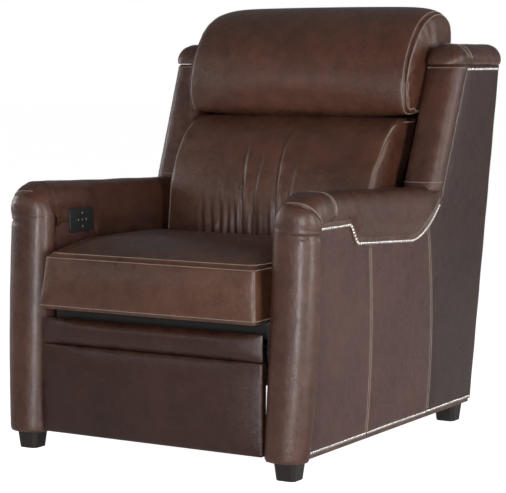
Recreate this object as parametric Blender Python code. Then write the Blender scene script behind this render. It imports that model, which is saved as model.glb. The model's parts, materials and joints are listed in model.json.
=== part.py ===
"""Power recliner: a club-chair shell that stays put, with a seat carriage that slides forward in it,
a back and a headrest that tilt, and a footrest that folds out from under the seat.

Metres, +Z up. The chair faces -Y, and +X is the sitter's left. The origin is on the floor, at the middle
of the whole chair's width and depth.
"""

import math

import bmesh
import bpy
from mathutils import Vector

# Fits
gap = 0.0003                      # between pieces that touch
running_gap = 0.0006              # between pieces that slide or turn past each other
overrun = 0.002                   # how far a cutter runs past what it cuts

# Shell: overall
base_half_width = 0.400           # outer face of the side, at the plinth
base_depth = 0.943                # arm front to outside back, at the plinth
side_thickness = 0.088
well_half_width = base_half_width - side_thickness
side_lean = math.radians(1.5)     # the sides lean outwards
front_rake = math.radians(3.5)    # the arm fronts lean back
rear_rake = math.radians(7.3)     # the outside back leans back
foot_height = 0.043
panel_foot = 0.0525               # lower edge of the upholstered sides
wing_top = 0.934                  # top of the wing, under its cap
cap_height = 0.053
cap_overhang = 0.009
cap_rear_overhang = 0.012
seat_front_proud = 0.015          # how far the seat cushion swells past the arm fronts

# Arms
roll_depth = 0.065                # arm front roll, front to its side seam
roll_side_swell = 0.014           # the roll's padding swells past the side face and past the arm front
roll_front_swell = 0.007
roll_swell_share = 0.40           # of its depth: the swell is full from here forward
roll_power = 5.0                  # how square its plan is at the front
shelf_z = 0.568                   # seam on top of the front roll
arm_top_front = 0.648
arm_top_rear = 0.630
scroll_length = 0.110
scroll_nose = 0.058
scroll_proud = 0.007
pad_overhang = 0.012
pad_inner_bulge = 0.0
pad_step_z = 0.521                # lower edge of the pad just behind its step, and where its rise begins
pad_low_z = 0.505
pad_step_start = 0.227            # behind the arm front: the pad's lower edge steps down here
pad_step_length = 0.048
pad_rise_length = 0.170           # ahead of the wing's foot: the pad's lower edge rises to the wing here
pad_rise_power = 2.0
arch_power = 2.6                  # how square the arm's and the caps' arched sections are

# Wings
wing_foot_z = 0.598
wing_foot_from_rear = 0.224
wing_foot_depth = base_depth - wing_foot_from_rear  # foot of the seam between roll and panel
pad_rise_start = wing_foot_depth - pad_rise_length
wing_slope = 0.398                # run of that seam for each unit of rise
wing_roll_depth = 0.064
wing_roll_radius_outer = 0.042
wing_roll_radius_inner = 0.032
wing_split_ahead = 0.057          # of the foot of that seam
wing_split = wing_foot_depth - wing_split_ahead  # behind the arm front: where arm panel and wing panel meet
cap_nose = 0.050
cap_tail = 0.034
cap_front_proud = 0.0125

# Outside back
back_skin = 0.012
back_cap_depth = 0.045

# Plinth and feet
plinth_inset = 0.004
plinth_thickness = 0.070
foot_top_width = 0.0585
foot_bottom_width = 0.0495
foot_chamfer = 0.008
foot_from_side = 0.0355           # middle of a foot, in from the side, the front and the rear
foot_from_front = 0.0436
foot_from_rear = 0.060

# Mechanism rails and stretcher, fixed in the shell
rail_bottom = 0.225
rail_height = 0.040
rail_thickness = 0.012
rail_front = 0.120                # behind the arm front
rail_from_rear = 0.163
rail_rear = base_depth - rail_from_rear
stretcher_radius = 0.0125
stretcher_z = 0.110
stretcher_place = 0.800           # behind the arm front

# Seat carriage
slide_travel = 0.200
glide_thickness = 0.0035
glide_length = 0.060
glide_spread = 0.205              # from the front glide to the rear one
carriage_plate = 0.005
carriage_bottom = 0.235
carriage_nose_bottom = 0.262
carriage_nose_length = 0.078
carriage_ear_radius = 0.016
seat_rail_top = 0.3445
seat_rail_thickness = 0.028
seat_front_rail_bottom = 0.312
seat_front_rail_face = 0.0620     # behind the arm front
seat_rear_rail_bottom = 0.262
seat_rear_rail_from_rear = 0.3227
seat_rear_rail_face = base_depth - seat_rear_rail_from_rear
seat_rear_rail_thickness = 0.025
cross_bar_width = 0.025
cross_bar_bottom = 0.3120
cross_bar_height = 0.020
cross_bar_place = 0.440
drive_lug_thickness = 0.016
deck_thickness = 0.005

# Seat cushion
seat_side_room = 0.015            # beside the seat cushion
seat_half_width = well_half_width - seat_side_room
seat_bottom_z = seat_rail_top + deck_thickness + 2 * gap
seat_edge_z = 0.482
seat_crown = 0.036
seat_front_belly = -0.45          # where the front face swells most, as a share of the half height
seat_from_rear = 0.44423          # ahead of the outside back, at the plinth
seat_corner = 0.024
seat_draw_in = 0.007

# Footrest: side view, forward of the arm front and height, at rest
main_pivot = (-0.160, 0.285)
main_length = 0.215
main_rest_angle = 262.0
main_travel = 90.0
front_length = 0.245
ottoman_pivot_forward = -0.075
front_open_angle = 25.0
band_pivot_share = 0.195 / 0.245  # along the front link
control_share = 0.060 / 0.245
control_offset = 0.090            # of the control link's fixed pivot, off the middle of its swing
link_width = 0.024
link_thickness = 0.0060
link_step = 0.0065                # from one layer of links to the next
link_room = 0.0483
link_plane = well_half_width - link_room  # inner face of the innermost layer
pin_radius = 0.0065
torque_radius = 0.0110
lever_radius = 0.060
lever_thickness = 0.006
actuator_side = 0.100             # the two actuators under the seat, either side of the middle

# Ottoman and band
panel_side_room = 0.01            # beside the ottoman and the band
panel_half_width = well_half_width - panel_side_room
panel_bottom_z = 0.048
panel_top_z = 0.263
panel_board = 0.015
panel_pad = 0.038
panel_crown = 0.008
band_bottom_z = 0.2665
band_top_z = 0.3270
band_board = 0.007
band_pad = 0.023
band_crown = 0.004
board_inset = 0.015               # from the ends of a pad to the ends of its board
board_margin = 0.006              # from the pad's upper and lower edges to the board's
bracket_foot = 0.030              # from the pad's lower edge to its bracket
band_shelf = 0.030                # how far the band's bracket runs level behind its board

# Actuators
rod_radius = 0.0070
bore_radius = 0.0076
tube_radius = 0.0125
footrest_tube_length = 0.200
footrest_rod_room = 0.0123        # behind the rod's end, in its tube, at rest
motor_width = 0.062
motor_height = 0.070
motor_can_radius = 0.026
motor_can_length = 0.085
motor_below_axis = 0.028          # under the footrest actuator's tube
clevis_ear = 0.004
clevis_height = 0.018
clevis_length = 0.026
recline_z = 0.165
recline_tube_length = 0.230
recline_motor_length = 0.085
recline_rod_overlap = 0.025       # of the rod in its tube when the seat is right forward

# Back
back_rake = math.radians(22.0)
back_pivot_from_rear = 0.27923    # these are ahead of the outside back, at the plinth
back_pivot_z = 0.340
recline_travel = 20.0
board_foot_z = 0.400
board_top_z = 0.795
board_ref_from_rear = 0.25723     # board's front face at the height below
board_ref_z = 0.500
board_thickness = 0.018
board_side_room = 0.022           # beside the back board
board_half_width = well_half_width - board_side_room
upright_foot_width = 0.026        # steel uprights behind the board, with the hinge at their foot
upright_width = 0.020
upright_thickness = 0.006
upright_inset = 0.0055
upright_side = board_half_width - upright_inset
upright_below_top = 0.005
upright_top_z = board_top_z - upright_below_top
upright_pin_radius = 0.008
top_bar_foot_below = 0.03
top_bar_foot_z = board_top_z - top_bar_foot_below  # steel bar across the uprights
top_bar_top_below = 0.002
top_bar_top_z = board_top_z - top_bar_top_below
top_bar_thickness = 0.006
back_half_width = well_half_width
back_foot_z = 0.425
back_top_below = 0.008            # of the cushion's top, under the board's
back_top_z = board_top_z - back_top_below
back_thick_low = 0.172            # level thickness at the loins and at the top
back_thick_high = 0.104
back_thinning_power = 5
back_crown = 0.034
back_crown_start_z = 0.490
back_crown_rise = 0.090
back_corner = 0.030
back_draw_in = 0.008
back_seam_depth = 0.006
back_seam_half_width = 0.020
back_ear = 0.034                  # how far the cushion spreads in front of the wings, above the arms
back_ear_start_z = 0.655
back_ear_rise = 0.050
ear_clearance = 0.010             # between the wings' front rolls and what spreads in front of them
ear_run = 0.030
cushion_clearance = 0.004         # between the back cushion and the rear of the seat cushion

# Headrest
head_pivot_from_rear = 0.18223
head_pivot_above = 0.008
head_pivot_z = board_top_z + head_pivot_above
head_travel = 22.0
head_past_well = 0.012            # how far the headrest reaches in front of the wings
head_half_width = well_half_width + head_past_well
head_ear = 0.026
head_depth = 0.224
head_foot_above = 0.0245
head_foot_z = board_top_z + head_foot_above
head_height = 0.264
head_rear_from_rear = 0.02823     # rear of the headrest cushion at the height below
head_rear_above = 0.045
head_rear_z = board_top_z + head_rear_above
head_frame_inset = 0.054
head_frame_half_width = head_half_width - head_frame_inset
head_frame_thickness = 0.011
head_frame_foot_above = 0.0355
head_frame_foot = head_foot_z + head_frame_foot_above
head_frame_top_above = 0.1705
head_frame_top = head_foot_z + head_frame_top_above
head_arm_side = 0.120
head_arm_thickness = 0.005
head_arm_height = 0.016
head_arm_overlap = 0.020          # of the arms on the frame's board
head_axis_off = 0.026             # of the actuator, from the back board's rear face
head_motor_z = 0.520
head_motor_length = 0.060
head_tube_length = 0.120
head_rod_top_below = 0.023
head_rod_top_z = board_top_z - head_rod_top_below
head_lever_from_rear = 0.09523    # tip of the lever that the headrest's rod pushes
head_lever_foot_below = 0.017
head_lever_foot_z = board_top_z - head_lever_foot_below

# Keypad, on the inner face of the sitter's right arm
keypad_length = 0.100
keypad_height = 0.060
keypad_depth = 0.007
keypad_corner = 0.009
keypad_z = 0.551
keypad_behind_front = 0.162
key_size = 0.0125
key_pitch = 0.0165
key_proud = 0.0012
key_thickness = 0.0050
key_travel = 0.0012

# Gland for the lead, low on the outside back
gland_radius = 0.009
gland_length = 0.012
gland_x = 0.180
gland_z = 0.100

# Where the chair stands along Y
cap_middle_z = wing_top + cap_height / 2
chair_depth = (seat_front_proud + base_depth + (cap_middle_z - foot_height) * math.tan(rear_rake)
               + cap_rear_overhang)
front_y = -chair_depth / 2 + seat_front_proud
rear_y = front_y + base_depth
seat_rear_y = rear_y - seat_from_rear
back_pivot_y = rear_y - back_pivot_from_rear
board_ref_y = rear_y - board_ref_from_rear
head_pivot_y = rear_y - head_pivot_from_rear
head_rear_y = rear_y - head_rear_from_rear
head_lever_y = rear_y - head_lever_from_rear


def clear_scene():
    for thing in list(bpy.data.objects):
        bpy.data.objects.remove(thing, do_unlink=True)


def material(name, colour, roughness, metallic=0.0):
    made = bpy.data.materials.new(name)
    made.use_nodes = True
    shader = made.node_tree.nodes["Principled BSDF"]
    shader.inputs["Base Color"].default_value = (*colour, 1.0)
    shader.inputs["Roughness"].default_value = roughness
    shader.inputs["Metallic"].default_value = metallic
    made.diffuse_color = (*colour, 1.0)
    return made


def finish(name, mesh_data, look, origin=(0.0, 0.0, 0.0), smooth_angle=40.0):
    """Turn a bmesh in world coordinates into an object whose own origin is the given point."""
    bmesh.ops.recalc_face_normals(mesh_data, faces=mesh_data.faces)
    bmesh.ops.translate(mesh_data, verts=mesh_data.verts, vec=-Vector(origin))
    mesh = bpy.data.meshes.new(name)
    mesh_data.to_mesh(mesh)
    mesh_data.free()
    mesh.materials.append(look)
    mesh.shade_smooth()
    mesh.set_sharp_from_angle(angle=math.radians(smooth_angle))
    piece = bpy.data.objects.new(name, mesh)
    piece.location = origin
    bpy.context.collection.objects.link(piece)
    return piece


def loft(mesh_data, rings):
    """Skin a row of closed rings of points, and cap both ends."""
    loops = [[mesh_data.verts.new(point) for point in ring] for ring in rings]
    for near, far in zip(loops, loops[1:]):
        for i, corner in enumerate(near):
            j = (i + 1) % len(near)
            mesh_data.faces.new((corner, near[j], far[j], far[i]))
    mesh_data.faces.new(list(reversed(loops[0])))
    mesh_data.faces.new(loops[-1])


def boolean(piece, mesh_data, operation):
    tool = finish(f"{piece.name}_{operation.lower()}_{len(piece.modifiers) + 1}", mesh_data, piece.data.materials[0])
    tool.hide_render = True
    tool.display_type = "WIRE"
    step = piece.modifiers.new(operation.lower(), "BOOLEAN")
    step.operation = operation
    step.object = tool


def join(piece, mesh_data):
    """Weld on solids that overlap the piece."""
    boolean(piece, mesh_data, "UNION")


def cut(piece, mesh_data):
    boolean(piece, mesh_data, "DIFFERENCE")


def box(mesh_data, low, high):
    rings = []
    for z in (low[2], high[2]):
        rings.append([Vector((low[0], low[1], z)), Vector((high[0], low[1], z)),
                      Vector((high[0], high[1], z)), Vector((low[0], high[1], z))])
    loft(mesh_data, rings)


def slab_x(mesh_data, outline, x_low, x_high):
    """A plate across X, from its outline of (y, z) points."""
    loft(mesh_data, [[Vector((x, y, z)) for y, z in outline] for x in (x_low, x_high)])


def circle(radius, sides):
    return [(radius * math.cos(math.tau * i / sides), radius * math.sin(math.tau * i / sides))
            for i in range(sides)]


def rod_x(mesh_data, x_low, x_high, y, z, radius, sides=16):
    slab_x(mesh_data, [(y + a, z + b) for a, b in circle(radius, sides)], x_low, x_high)


def rod_y(mesh_data, y_low, y_high, x, z, radius, sides=16):
    ring = circle(radius, sides)
    loft(mesh_data, [[Vector((x + a, y, z + b)) for a, b in ring] for y in (y_low, y_high)])


def pipe(mesh_data, start, end, radius, bore, sides=16):
    """A round tube, open at both ends."""
    start, end = Vector(start), Vector(end)
    along = (end - start).normalized()
    across = along.cross(Vector((1, 0, 0))).normalized()
    side = along.cross(across)
    loops = []
    for centre, reach in ((start, radius), (end, radius), (end, bore), (start, bore)):
        loops.append([mesh_data.verts.new(centre + across * a + side * b) for a, b in circle(reach, sides)])
    for near, far in zip(loops, loops[1:] + loops[:1]):
        for i in range(sides):
            j = (i + 1) % sides
            mesh_data.faces.new((near[i], near[j], far[j], far[i]))


def bar(mesh_data, start, end, radius, sides=12):
    """A solid round bar between two points."""
    start, end = Vector(start), Vector(end)
    along = (end - start).normalized()
    across = along.cross(Vector((1, 0, 0))).normalized()
    side = along.cross(across)
    loft(mesh_data, [[centre + across * a + side * b for a, b in circle(radius, sides)]
                     for centre in (start, end)])


def shaft_x(mesh_data, y, z, steps, sides=16):
    """A stepped shaft along X, from its (x, radius) pairs."""
    loft(mesh_data, [[Vector((x, y + a, z + b)) for a, b in circle(radius, sides)] for x, radius in steps])


def arc(centre, radius, start, end, steps):
    """Points of an arc in (y, z), between two angles in degrees."""
    return [(centre[0] + radius * math.cos(a), centre[1] + radius * math.sin(a))
            for a in rows(math.radians(start), math.radians(end), steps)]


def side_pair(low, high, side):
    """The two X limits of a piece on one side, lower one first."""
    ends = (side * low, side * high)
    return min(ends), max(ends)


def capsule(first, second, width, steps=5):
    """The outline of a link: two round ends joined by straight sides, in (y, z)."""
    angle = math.atan2(second[1] - first[1], second[0] - first[0])
    points = []
    for centre, turn in ((second, -math.pi / 2), (first, math.pi / 2)):
        for i in range(steps + 1):
            a = angle + turn + math.pi * i / steps
            points.append((centre[0] + width / 2 * math.cos(a), centre[1] + width / 2 * math.sin(a)))
    return points


# The shell's leaning faces

def side_x(z):
    return base_half_width + (z - foot_height) * math.tan(side_lean)


def on_side(side, inward, y, z):
    """A point on one side of the shell: its distance in from the leaning outer face, then y and z."""
    return Vector((side * (side_x(z) - inward), y, z))


def arm_front(z):
    return front_y + (z - foot_height) * math.tan(front_rake)


def shell_rear(z):
    return rear_y + (z - foot_height) * math.tan(rear_rake)


def wing_seam(z):
    return front_y + wing_foot_depth + (z - wing_foot_z) * wing_slope


def smooth_step(share):
    share = min(max(share, 0.0), 1.0)
    return share * share * (3 - 2 * share)


def pad_edge(y):
    """Height of the arm pad's lower edge on the side, which the nail trim follows."""
    behind = y - front_y
    step = smooth_step((behind - pad_step_start) / pad_step_length)
    step_end = pad_step_start + pad_step_length
    fall = min(max((behind - step_end) / (pad_rise_start - step_end), 0.0), 1.0)
    low = pad_step_z + (pad_low_z - pad_step_z) * fall
    rise = max(0.0, (behind - pad_rise_start) / (wing_foot_depth - pad_rise_start))
    return shelf_z - (shelf_z - low) * step + (wing_foot_z - pad_low_z) * rise ** pad_rise_power


def pad_stations():
    """Places along the arm where the pad's lower edge is set out."""
    start = front_y + pad_step_start
    stations = [start + pad_step_length * i / 4 for i in range(5)]
    rise = front_y + pad_rise_start
    stations.append((stations[-1] + rise) / 2)
    rise_length = wing_foot_depth - pad_rise_start
    stations += [rise + rise_length * i / 6 for i in range(7)]
    return stations


def scroll_rear():
    return arm_front(shelf_z) + scroll_length


def arm_top(y):
    """Height of the arm's crest: it falls to the foot of the wing, and is level under the wing's front roll."""
    share = (y - scroll_rear()) / (wing_seam(arm_top_rear) - wing_roll_depth - scroll_rear())
    return arm_top_front + (arm_top_rear - arm_top_front) * min(1.0, share)


def arch(height_share, power=arch_power):
    """Half-width share of an arched section at a share of its height."""
    return max(0.0, 1 - height_share ** power) ** (1 / power)


height_shares = (0.0, 0.30, 0.55, 0.75, 0.90, 0.975)
roll_shares = (0.0, 0.15, 0.40, 0.70, 0.88, 0.96, 0.99, 0.999)


def arch_ring(side, y_of, base, top, inward_low, inward_high):
    """A section of an arm or cap: flat below, arched above, between two distances in from the side face."""
    middle = (inward_low + inward_high) / 2
    half = (inward_high - inward_low) / 2
    outer = []
    inner = []
    for share in height_shares:
        z = base + (top - base) * share
        reach = half * arch(share)
        outer.append(on_side(side, middle - reach, y_of(z), z))
        inner.append(on_side(side, middle + reach, y_of(z), z))
    crest = on_side(side, middle, y_of(top), top)
    return outer + [crest] + list(reversed(inner))


def nose_shares(steps):
    """Shares of a rounded end, from its tip to where it meets the full section."""
    return [1 - math.cos(math.pi / 2 * i / steps) for i in range(1, steps + 1)]


def capped_bar(mesh_data, side, y_front, y_end, base, top, inward_low, inward_high, nose, tail):
    """A padded bar along the side with an arched section and round ends."""
    stations = []
    tip_share = 0.12
    if nose:
        stations.append((y_front, tip_share))
        for share in nose_shares(4):
            stations.append((y_front + nose * share, math.sqrt(1 - (1 - share) ** 2)))
    else:
        stations.append((y_front, 1.0))
    if tail:
        for share in reversed(nose_shares(3)):
            stations.append((y_end - tail * share, math.sqrt(1 - (1 - share) ** 2)))
        stations.append((y_end, tip_share))
    else:
        stations.append((y_end, 1.0))
    middle = (inward_low + inward_high) / 2
    half = (inward_high - inward_low) / 2
    rings = []
    for y, scale in stations:
        wide = half * scale ** 0.5
        rings.append(arch_ring(side, lambda z, y=y: y, base, base + (top - base) * scale,
                               middle - wide, middle + wide))
    loft(mesh_data, rings)


def roll_ring(side, z, y_front, y_rear, radius_outer, radius_inner, steps=4):
    """Plan section of a front roll: square at the back, rounded at the front."""
    points = [on_side(side, 0.0, y_rear, z)]
    for i in range(steps + 1):
        a = math.pi / 2 * i / steps
        points.append(on_side(side, radius_outer * (1 - math.cos(a)), y_front + radius_outer * (1 - math.sin(a)), z))
    for i in range(steps + 1):
        a = math.pi / 2 * (1 - i / steps)
        points.append(on_side(side, side_thickness - radius_inner * (1 - math.cos(a)),
                              y_front + radius_inner * (1 - math.sin(a)), z))
    points.append(on_side(side, side_thickness, y_rear, z))
    return points


def padded_ring(side, z, tuck):
    """Plan section of an arm's front roll: it swells out of its seams, and its front is squarish."""
    y_rear = arm_front(z) + roll_depth - gap
    reach = roll_depth - gap + roll_front_swell - tuck
    half = side_thickness / 2
    outer = []
    inner = []
    for share in roll_shares:
        wide = half * arch(share, roll_power)
        grown = math.sin(math.pi / 2 * min(1.0, share / roll_swell_share))
        y = y_rear - reach * share
        outer.append(on_side(side, half - wide - roll_side_swell * grown, y, z))
        inner.append(on_side(side, half + wide, y, z))
    middle = on_side(side, half - roll_side_swell / 2, y_rear - reach, z)
    return outer + [middle] + list(reversed(inner))


def rows(low, high, count):
    return [low + (high - low) * i / (count - 1) for i in range(count)]


# Shell pieces

def arm_front_roll(name, side, look):
    mesh_data = bmesh.new()
    edge = roll_depth / 12
    heights = [panel_foot] + rows(panel_foot + edge, shelf_z - gap, 5)
    rings = []
    for z in heights:
        tuck = edge / 2 if z == panel_foot else 0.0
        rings.append(padded_ring(side, z, tuck))
    loft(mesh_data, rings)
    finish(name, mesh_data, look)


def arm_scroll(name, side, look):
    mesh_data = bmesh.new()
    capped_bar(mesh_data, side, arm_front(shelf_z) - scroll_proud, scroll_rear() - gap, shelf_z + gap,
               arm_top_front, -pad_overhang, side_thickness + pad_inner_bulge, scroll_nose, 0.0)
    finish(name, mesh_data, look)


def arm_pad(name, side, look):
    mesh_data = bmesh.new()
    stations = [scroll_rear()] + pad_stations()
    rings = []
    for y in stations:
        base = pad_edge(y) + gap

        def level(z, y=y):
            return y

        def raked(z, y=y, base=base):
            return y + (z - base) * wing_slope - gap

        place = raked if y == stations[-1] else level
        rings.append(arch_ring(side, place, base, arm_top(y), -pad_overhang, side_thickness + pad_inner_bulge))
    loft(mesh_data, rings)
    finish(name, mesh_data, look)


def side_slab(mesh_data, side, outline, inward_low, inward_high):
    loft(mesh_data, [[on_side(side, inward, y, z) for y, z in outline] for inward in (inward_low, inward_high)])


def arm_panel(name, side, look):
    mesh_data = bmesh.new()
    split = front_y + wing_split
    outline = [(arm_front(panel_foot) + roll_depth, panel_foot), (split, panel_foot), (split, pad_edge(split))]
    outline += [(y, pad_edge(y)) for y in reversed(pad_stations()) if y < split]
    outline.append((arm_front(shelf_z) + roll_depth, shelf_z))
    side_slab(mesh_data, side, outline, 0.0, side_thickness)
    finish(name, mesh_data, look)


def wing_panel(name, side, look):
    mesh_data = bmesh.new()
    split = front_y + wing_split + gap
    outline = [(shell_rear(panel_foot) - back_skin - gap, panel_foot),
               (shell_rear(wing_top) - back_skin - gap, wing_top), (wing_seam(wing_top), wing_top)]
    outline += [(y, pad_edge(y)) for y in reversed(pad_stations()) if y > split]
    outline += [(split, pad_edge(split)), (split, panel_foot)]
    side_slab(mesh_data, side, outline, 0.0, side_thickness)
    finish(name, mesh_data, look)


def wing_roll_front(z):
    return wing_seam(z) - wing_roll_depth


def wing_roll(name, side, look):
    mesh_data = bmesh.new()
    rings = []
    for z in rows(arm_top_rear + gap, wing_top, 6):
        rings.append(roll_ring(side, z, wing_roll_front(z), wing_seam(z) - gap, wing_roll_radius_outer,
                               wing_roll_radius_inner))
    loft(mesh_data, rings)
    finish(name, mesh_data, look)


def wing_cap(name, side, look):
    mesh_data = bmesh.new()
    capped_bar(mesh_data, side, wing_roll_front(wing_top) - cap_front_proud,
               shell_rear(cap_middle_z) + cap_rear_overhang, wing_top + gap, wing_top + cap_height,
               -cap_overhang, side_thickness + cap_overhang / 2, cap_nose, cap_tail)
    finish(name, mesh_data, look)


def outside_back(name, look):
    mesh_data = bmesh.new()
    rings = []
    for z in (panel_foot, wing_top):
        x, y = side_x(z), shell_rear(z)
        rings.append([Vector((-x, y, z)), Vector((x, y, z)), Vector((x, y - back_skin, z)),
                      Vector((-x, y - back_skin, z))])
    loft(mesh_data, rings)
    finish(name, mesh_data, look)


def back_top_cap(name, look):
    """The roll across the back, between the two wing caps."""
    mesh_data = bmesh.new()
    base, top = wing_top + gap, wing_top + cap_height
    half = (back_cap_depth + cap_rear_overhang) / 2
    middle = shell_rear(cap_middle_z) + cap_rear_overhang - half
    reach = side_x(wing_top) - side_thickness - cap_overhang / 2 - 2 * gap
    rings = []
    for x in rows(-reach, reach, 5):
        front = [Vector((x, middle - half * arch(share), base + (top - base) * share)) for share in height_shares]
        rear = [Vector((x, middle + half * arch(share), base + (top - base) * share)) for share in height_shares]
        rings.append(front + [Vector((x, middle, top))] + list(reversed(rear)))
    loft(mesh_data, rings)
    finish(name, mesh_data, look)


def side_plinth(name, side, look):
    mesh_data = bmesh.new()
    low, high = foot_height + gap, panel_foot - gap
    outline = [(arm_front(low) + plinth_inset, low), (shell_rear(low) - plinth_inset, low),
               (shell_rear(low) - plinth_inset, high), (arm_front(low) + plinth_inset, high)]
    side_slab(mesh_data, side, outline, plinth_inset, plinth_inset + plinth_thickness)
    finish(name, mesh_data, look)


def rear_plinth(name, look):
    mesh_data = bmesh.new()
    reach = side_x(foot_height) - plinth_inset - plinth_thickness - gap
    rear = shell_rear(foot_height) - plinth_inset
    box(mesh_data, (-reach, rear - plinth_thickness, foot_height + gap), (reach, rear, panel_foot - gap))
    finish(name, mesh_data, look)


def foot_ring(x, y, z, width):
    half, chamfer = width / 2, foot_chamfer
    corners = ((half, -half + chamfer), (half, half - chamfer), (half - chamfer, half), (-half + chamfer, half),
               (-half, half - chamfer), (-half, -half + chamfer), (-half + chamfer, -half), (half - chamfer, -half))
    return [Vector((x + a, y + b, z)) for a, b in corners]


def foot(name, side, y, look):
    mesh_data = bmesh.new()
    x = side * (base_half_width - foot_from_side)
    loft(mesh_data, [foot_ring(x, y, 0.0, foot_bottom_width), foot_ring(x, y, foot_height, foot_top_width)])
    finish(name, mesh_data, look, smooth_angle=20.0)


# Mechanism fixed in the shell

def mechanism_rail(name, side, look):
    mesh_data = bmesh.new()
    low, high = rail_bottom, rail_bottom + rail_height
    front, rear = front_y + rail_front, front_y + rail_rear
    side_slab(mesh_data, side, [(front, low), (rear, low), (rear, high), (front, high)],
              side_thickness + gap, side_thickness + rail_thickness)
    finish(name, mesh_data, look)


def rear_stretcher(name, look):
    mesh_data = bmesh.new()
    reach = side_x(stretcher_z - stretcher_radius) - side_thickness - gap
    rod_x(mesh_data, -reach, reach, front_y + stretcher_place, stretcher_z, stretcher_radius)
    finish(name, mesh_data, look)


def actuator(name, look, x, z, tube_front, tube_rear, block_rear, block_low, can_side):
    """Gearbox and motor can, with the hollow tube that guides the push rod."""
    mesh_data = bmesh.new()
    half = motor_width / 2
    box(mesh_data, (x - half, tube_rear, block_low), (x + half, block_rear, block_low + motor_height))
    piece = finish(name, mesh_data, look, origin=(x, tube_rear, z))
    extras = bmesh.new()
    pipe(extras, (x, tube_front, z), (x, tube_rear + overrun, z), tube_radius, bore_radius)
    low, high = side_pair(can_side * x + half - overrun, can_side * x + half + motor_can_length, can_side)
    rod_x(extras, low, high, (tube_rear + block_rear) / 2, block_low + motor_height / 2, motor_can_radius)
    join(piece, extras)


def recline_places():
    """Along Y: front end of the rod, front end of the tube, rear end of the tube."""
    rod_front = front_y + cross_bar_place + cross_bar_width / 2 + drive_lug_thickness
    tube_front = rod_front + clevis_length
    return rod_front, tube_front, tube_front + recline_tube_length


def recline_actuator(name, look):
    """Stands on the rear stretcher."""
    _, tube_front, tube_rear = recline_places()
    actuator(name, look, actuator_side, recline_z, tube_front, tube_rear, tube_rear + recline_motor_length,
             stretcher_z + stretcher_radius + gap, -1)


def recline_rod(name, look):
    mesh_data = bmesh.new()
    rod_front, tube_front, _ = recline_places()
    rod_y(mesh_data, rod_front + gap, tube_front + slide_travel + recline_rod_overlap, actuator_side, recline_z,
          rod_radius)
    finish(name, mesh_data, look, origin=(actuator_side, rod_front, recline_z))


def power_gland(name, look):
    """Rubber boss where a lead leaves."""
    mesh_data = bmesh.new()
    rings = []
    for reach, out in ((1.0, 0.0), (1.0, 0.3), (0.8, 0.4), (0.7, 1.0)):
        ring = []
        for a, b in circle(gland_radius * reach, 14):
            z = gland_z + b
            ring.append(Vector((gland_x + a, shell_rear(z) + gap + gland_length * out, z)))
        rings.append(ring)
    loft(mesh_data, rings)
    finish(name, mesh_data, look)


# Keypad

def rounded_rect(half_length, half_height, corner, steps=3):
    points = []
    for way_along, way_up, quarter in ((1, 1, 0), (-1, 1, 1), (-1, -1, 2), (1, -1, 3)):
        for i in range(steps + 1):
            a = math.pi / 2 * (quarter + i / steps)
            points.append((way_along * (half_length - corner) + corner * math.cos(a),
                           way_up * (half_height - corner) + corner * math.sin(a)))
    return points


def keypad_point(along, up, out):
    """A point on the keypad, by its place on the arm's inner face and its distance out of that face."""
    y = arm_front(keypad_z) + keypad_behind_front
    return on_side(-1, side_thickness + out, y + along, keypad_z + up)


def keypad_ring(outline, centre, out):
    return [keypad_point(centre[0] + a, centre[1] + b, out) for a, b in outline]


key_places = {"key_up": (0, 1), "key_down": (0, -1), "key_forward": (-1, 0), "key_back": (1, 0), "key_home": (0, 0)}


def key_centre(place):
    return (place[0] * key_pitch, place[1] * key_pitch)


def keypad_housing(name, look):
    mesh_data = bmesh.new()
    bevel = keypad_depth / 5
    outline = rounded_rect(keypad_length / 2, keypad_height / 2, keypad_corner)
    top = rounded_rect(keypad_length / 2 - bevel, keypad_height / 2 - bevel, keypad_corner - bevel)
    loft(mesh_data, [keypad_ring(outline, (0, 0), gap), keypad_ring(outline, (0, 0), keypad_depth - bevel),
                     keypad_ring(top, (0, 0), keypad_depth)])
    housing = finish(name, mesh_data, look)
    holes = bmesh.new()
    half = key_size / 2 + gap
    hole = rounded_rect(half, half, key_size / 4)
    for place in key_places.values():
        loft(holes, [keypad_ring(hole, key_centre(place), -overrun),
                     keypad_ring(hole, key_centre(place), keypad_depth + overrun)])
    cut(housing, holes)


def keys(look):
    half = key_size / 2
    outline = rounded_rect(half, half, key_size / 4)
    top = keypad_depth + key_proud
    for name, place in key_places.items():
        mesh_data = bmesh.new()
        centre = key_centre(place)
        loft(mesh_data, [keypad_ring(outline, centre, top - key_thickness), keypad_ring(outline, centre, top)])
        finish(name, mesh_data, look, origin=keypad_point(centre[0], centre[1], top))


# Seat carriage

def plate_x():
    """Inner and outer faces of the upright carriage plate beside the leaning rail."""
    outer = side_x(carriage_bottom) - side_thickness - rail_thickness - running_gap - glide_thickness - gap
    return outer - carriage_plate, outer


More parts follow.
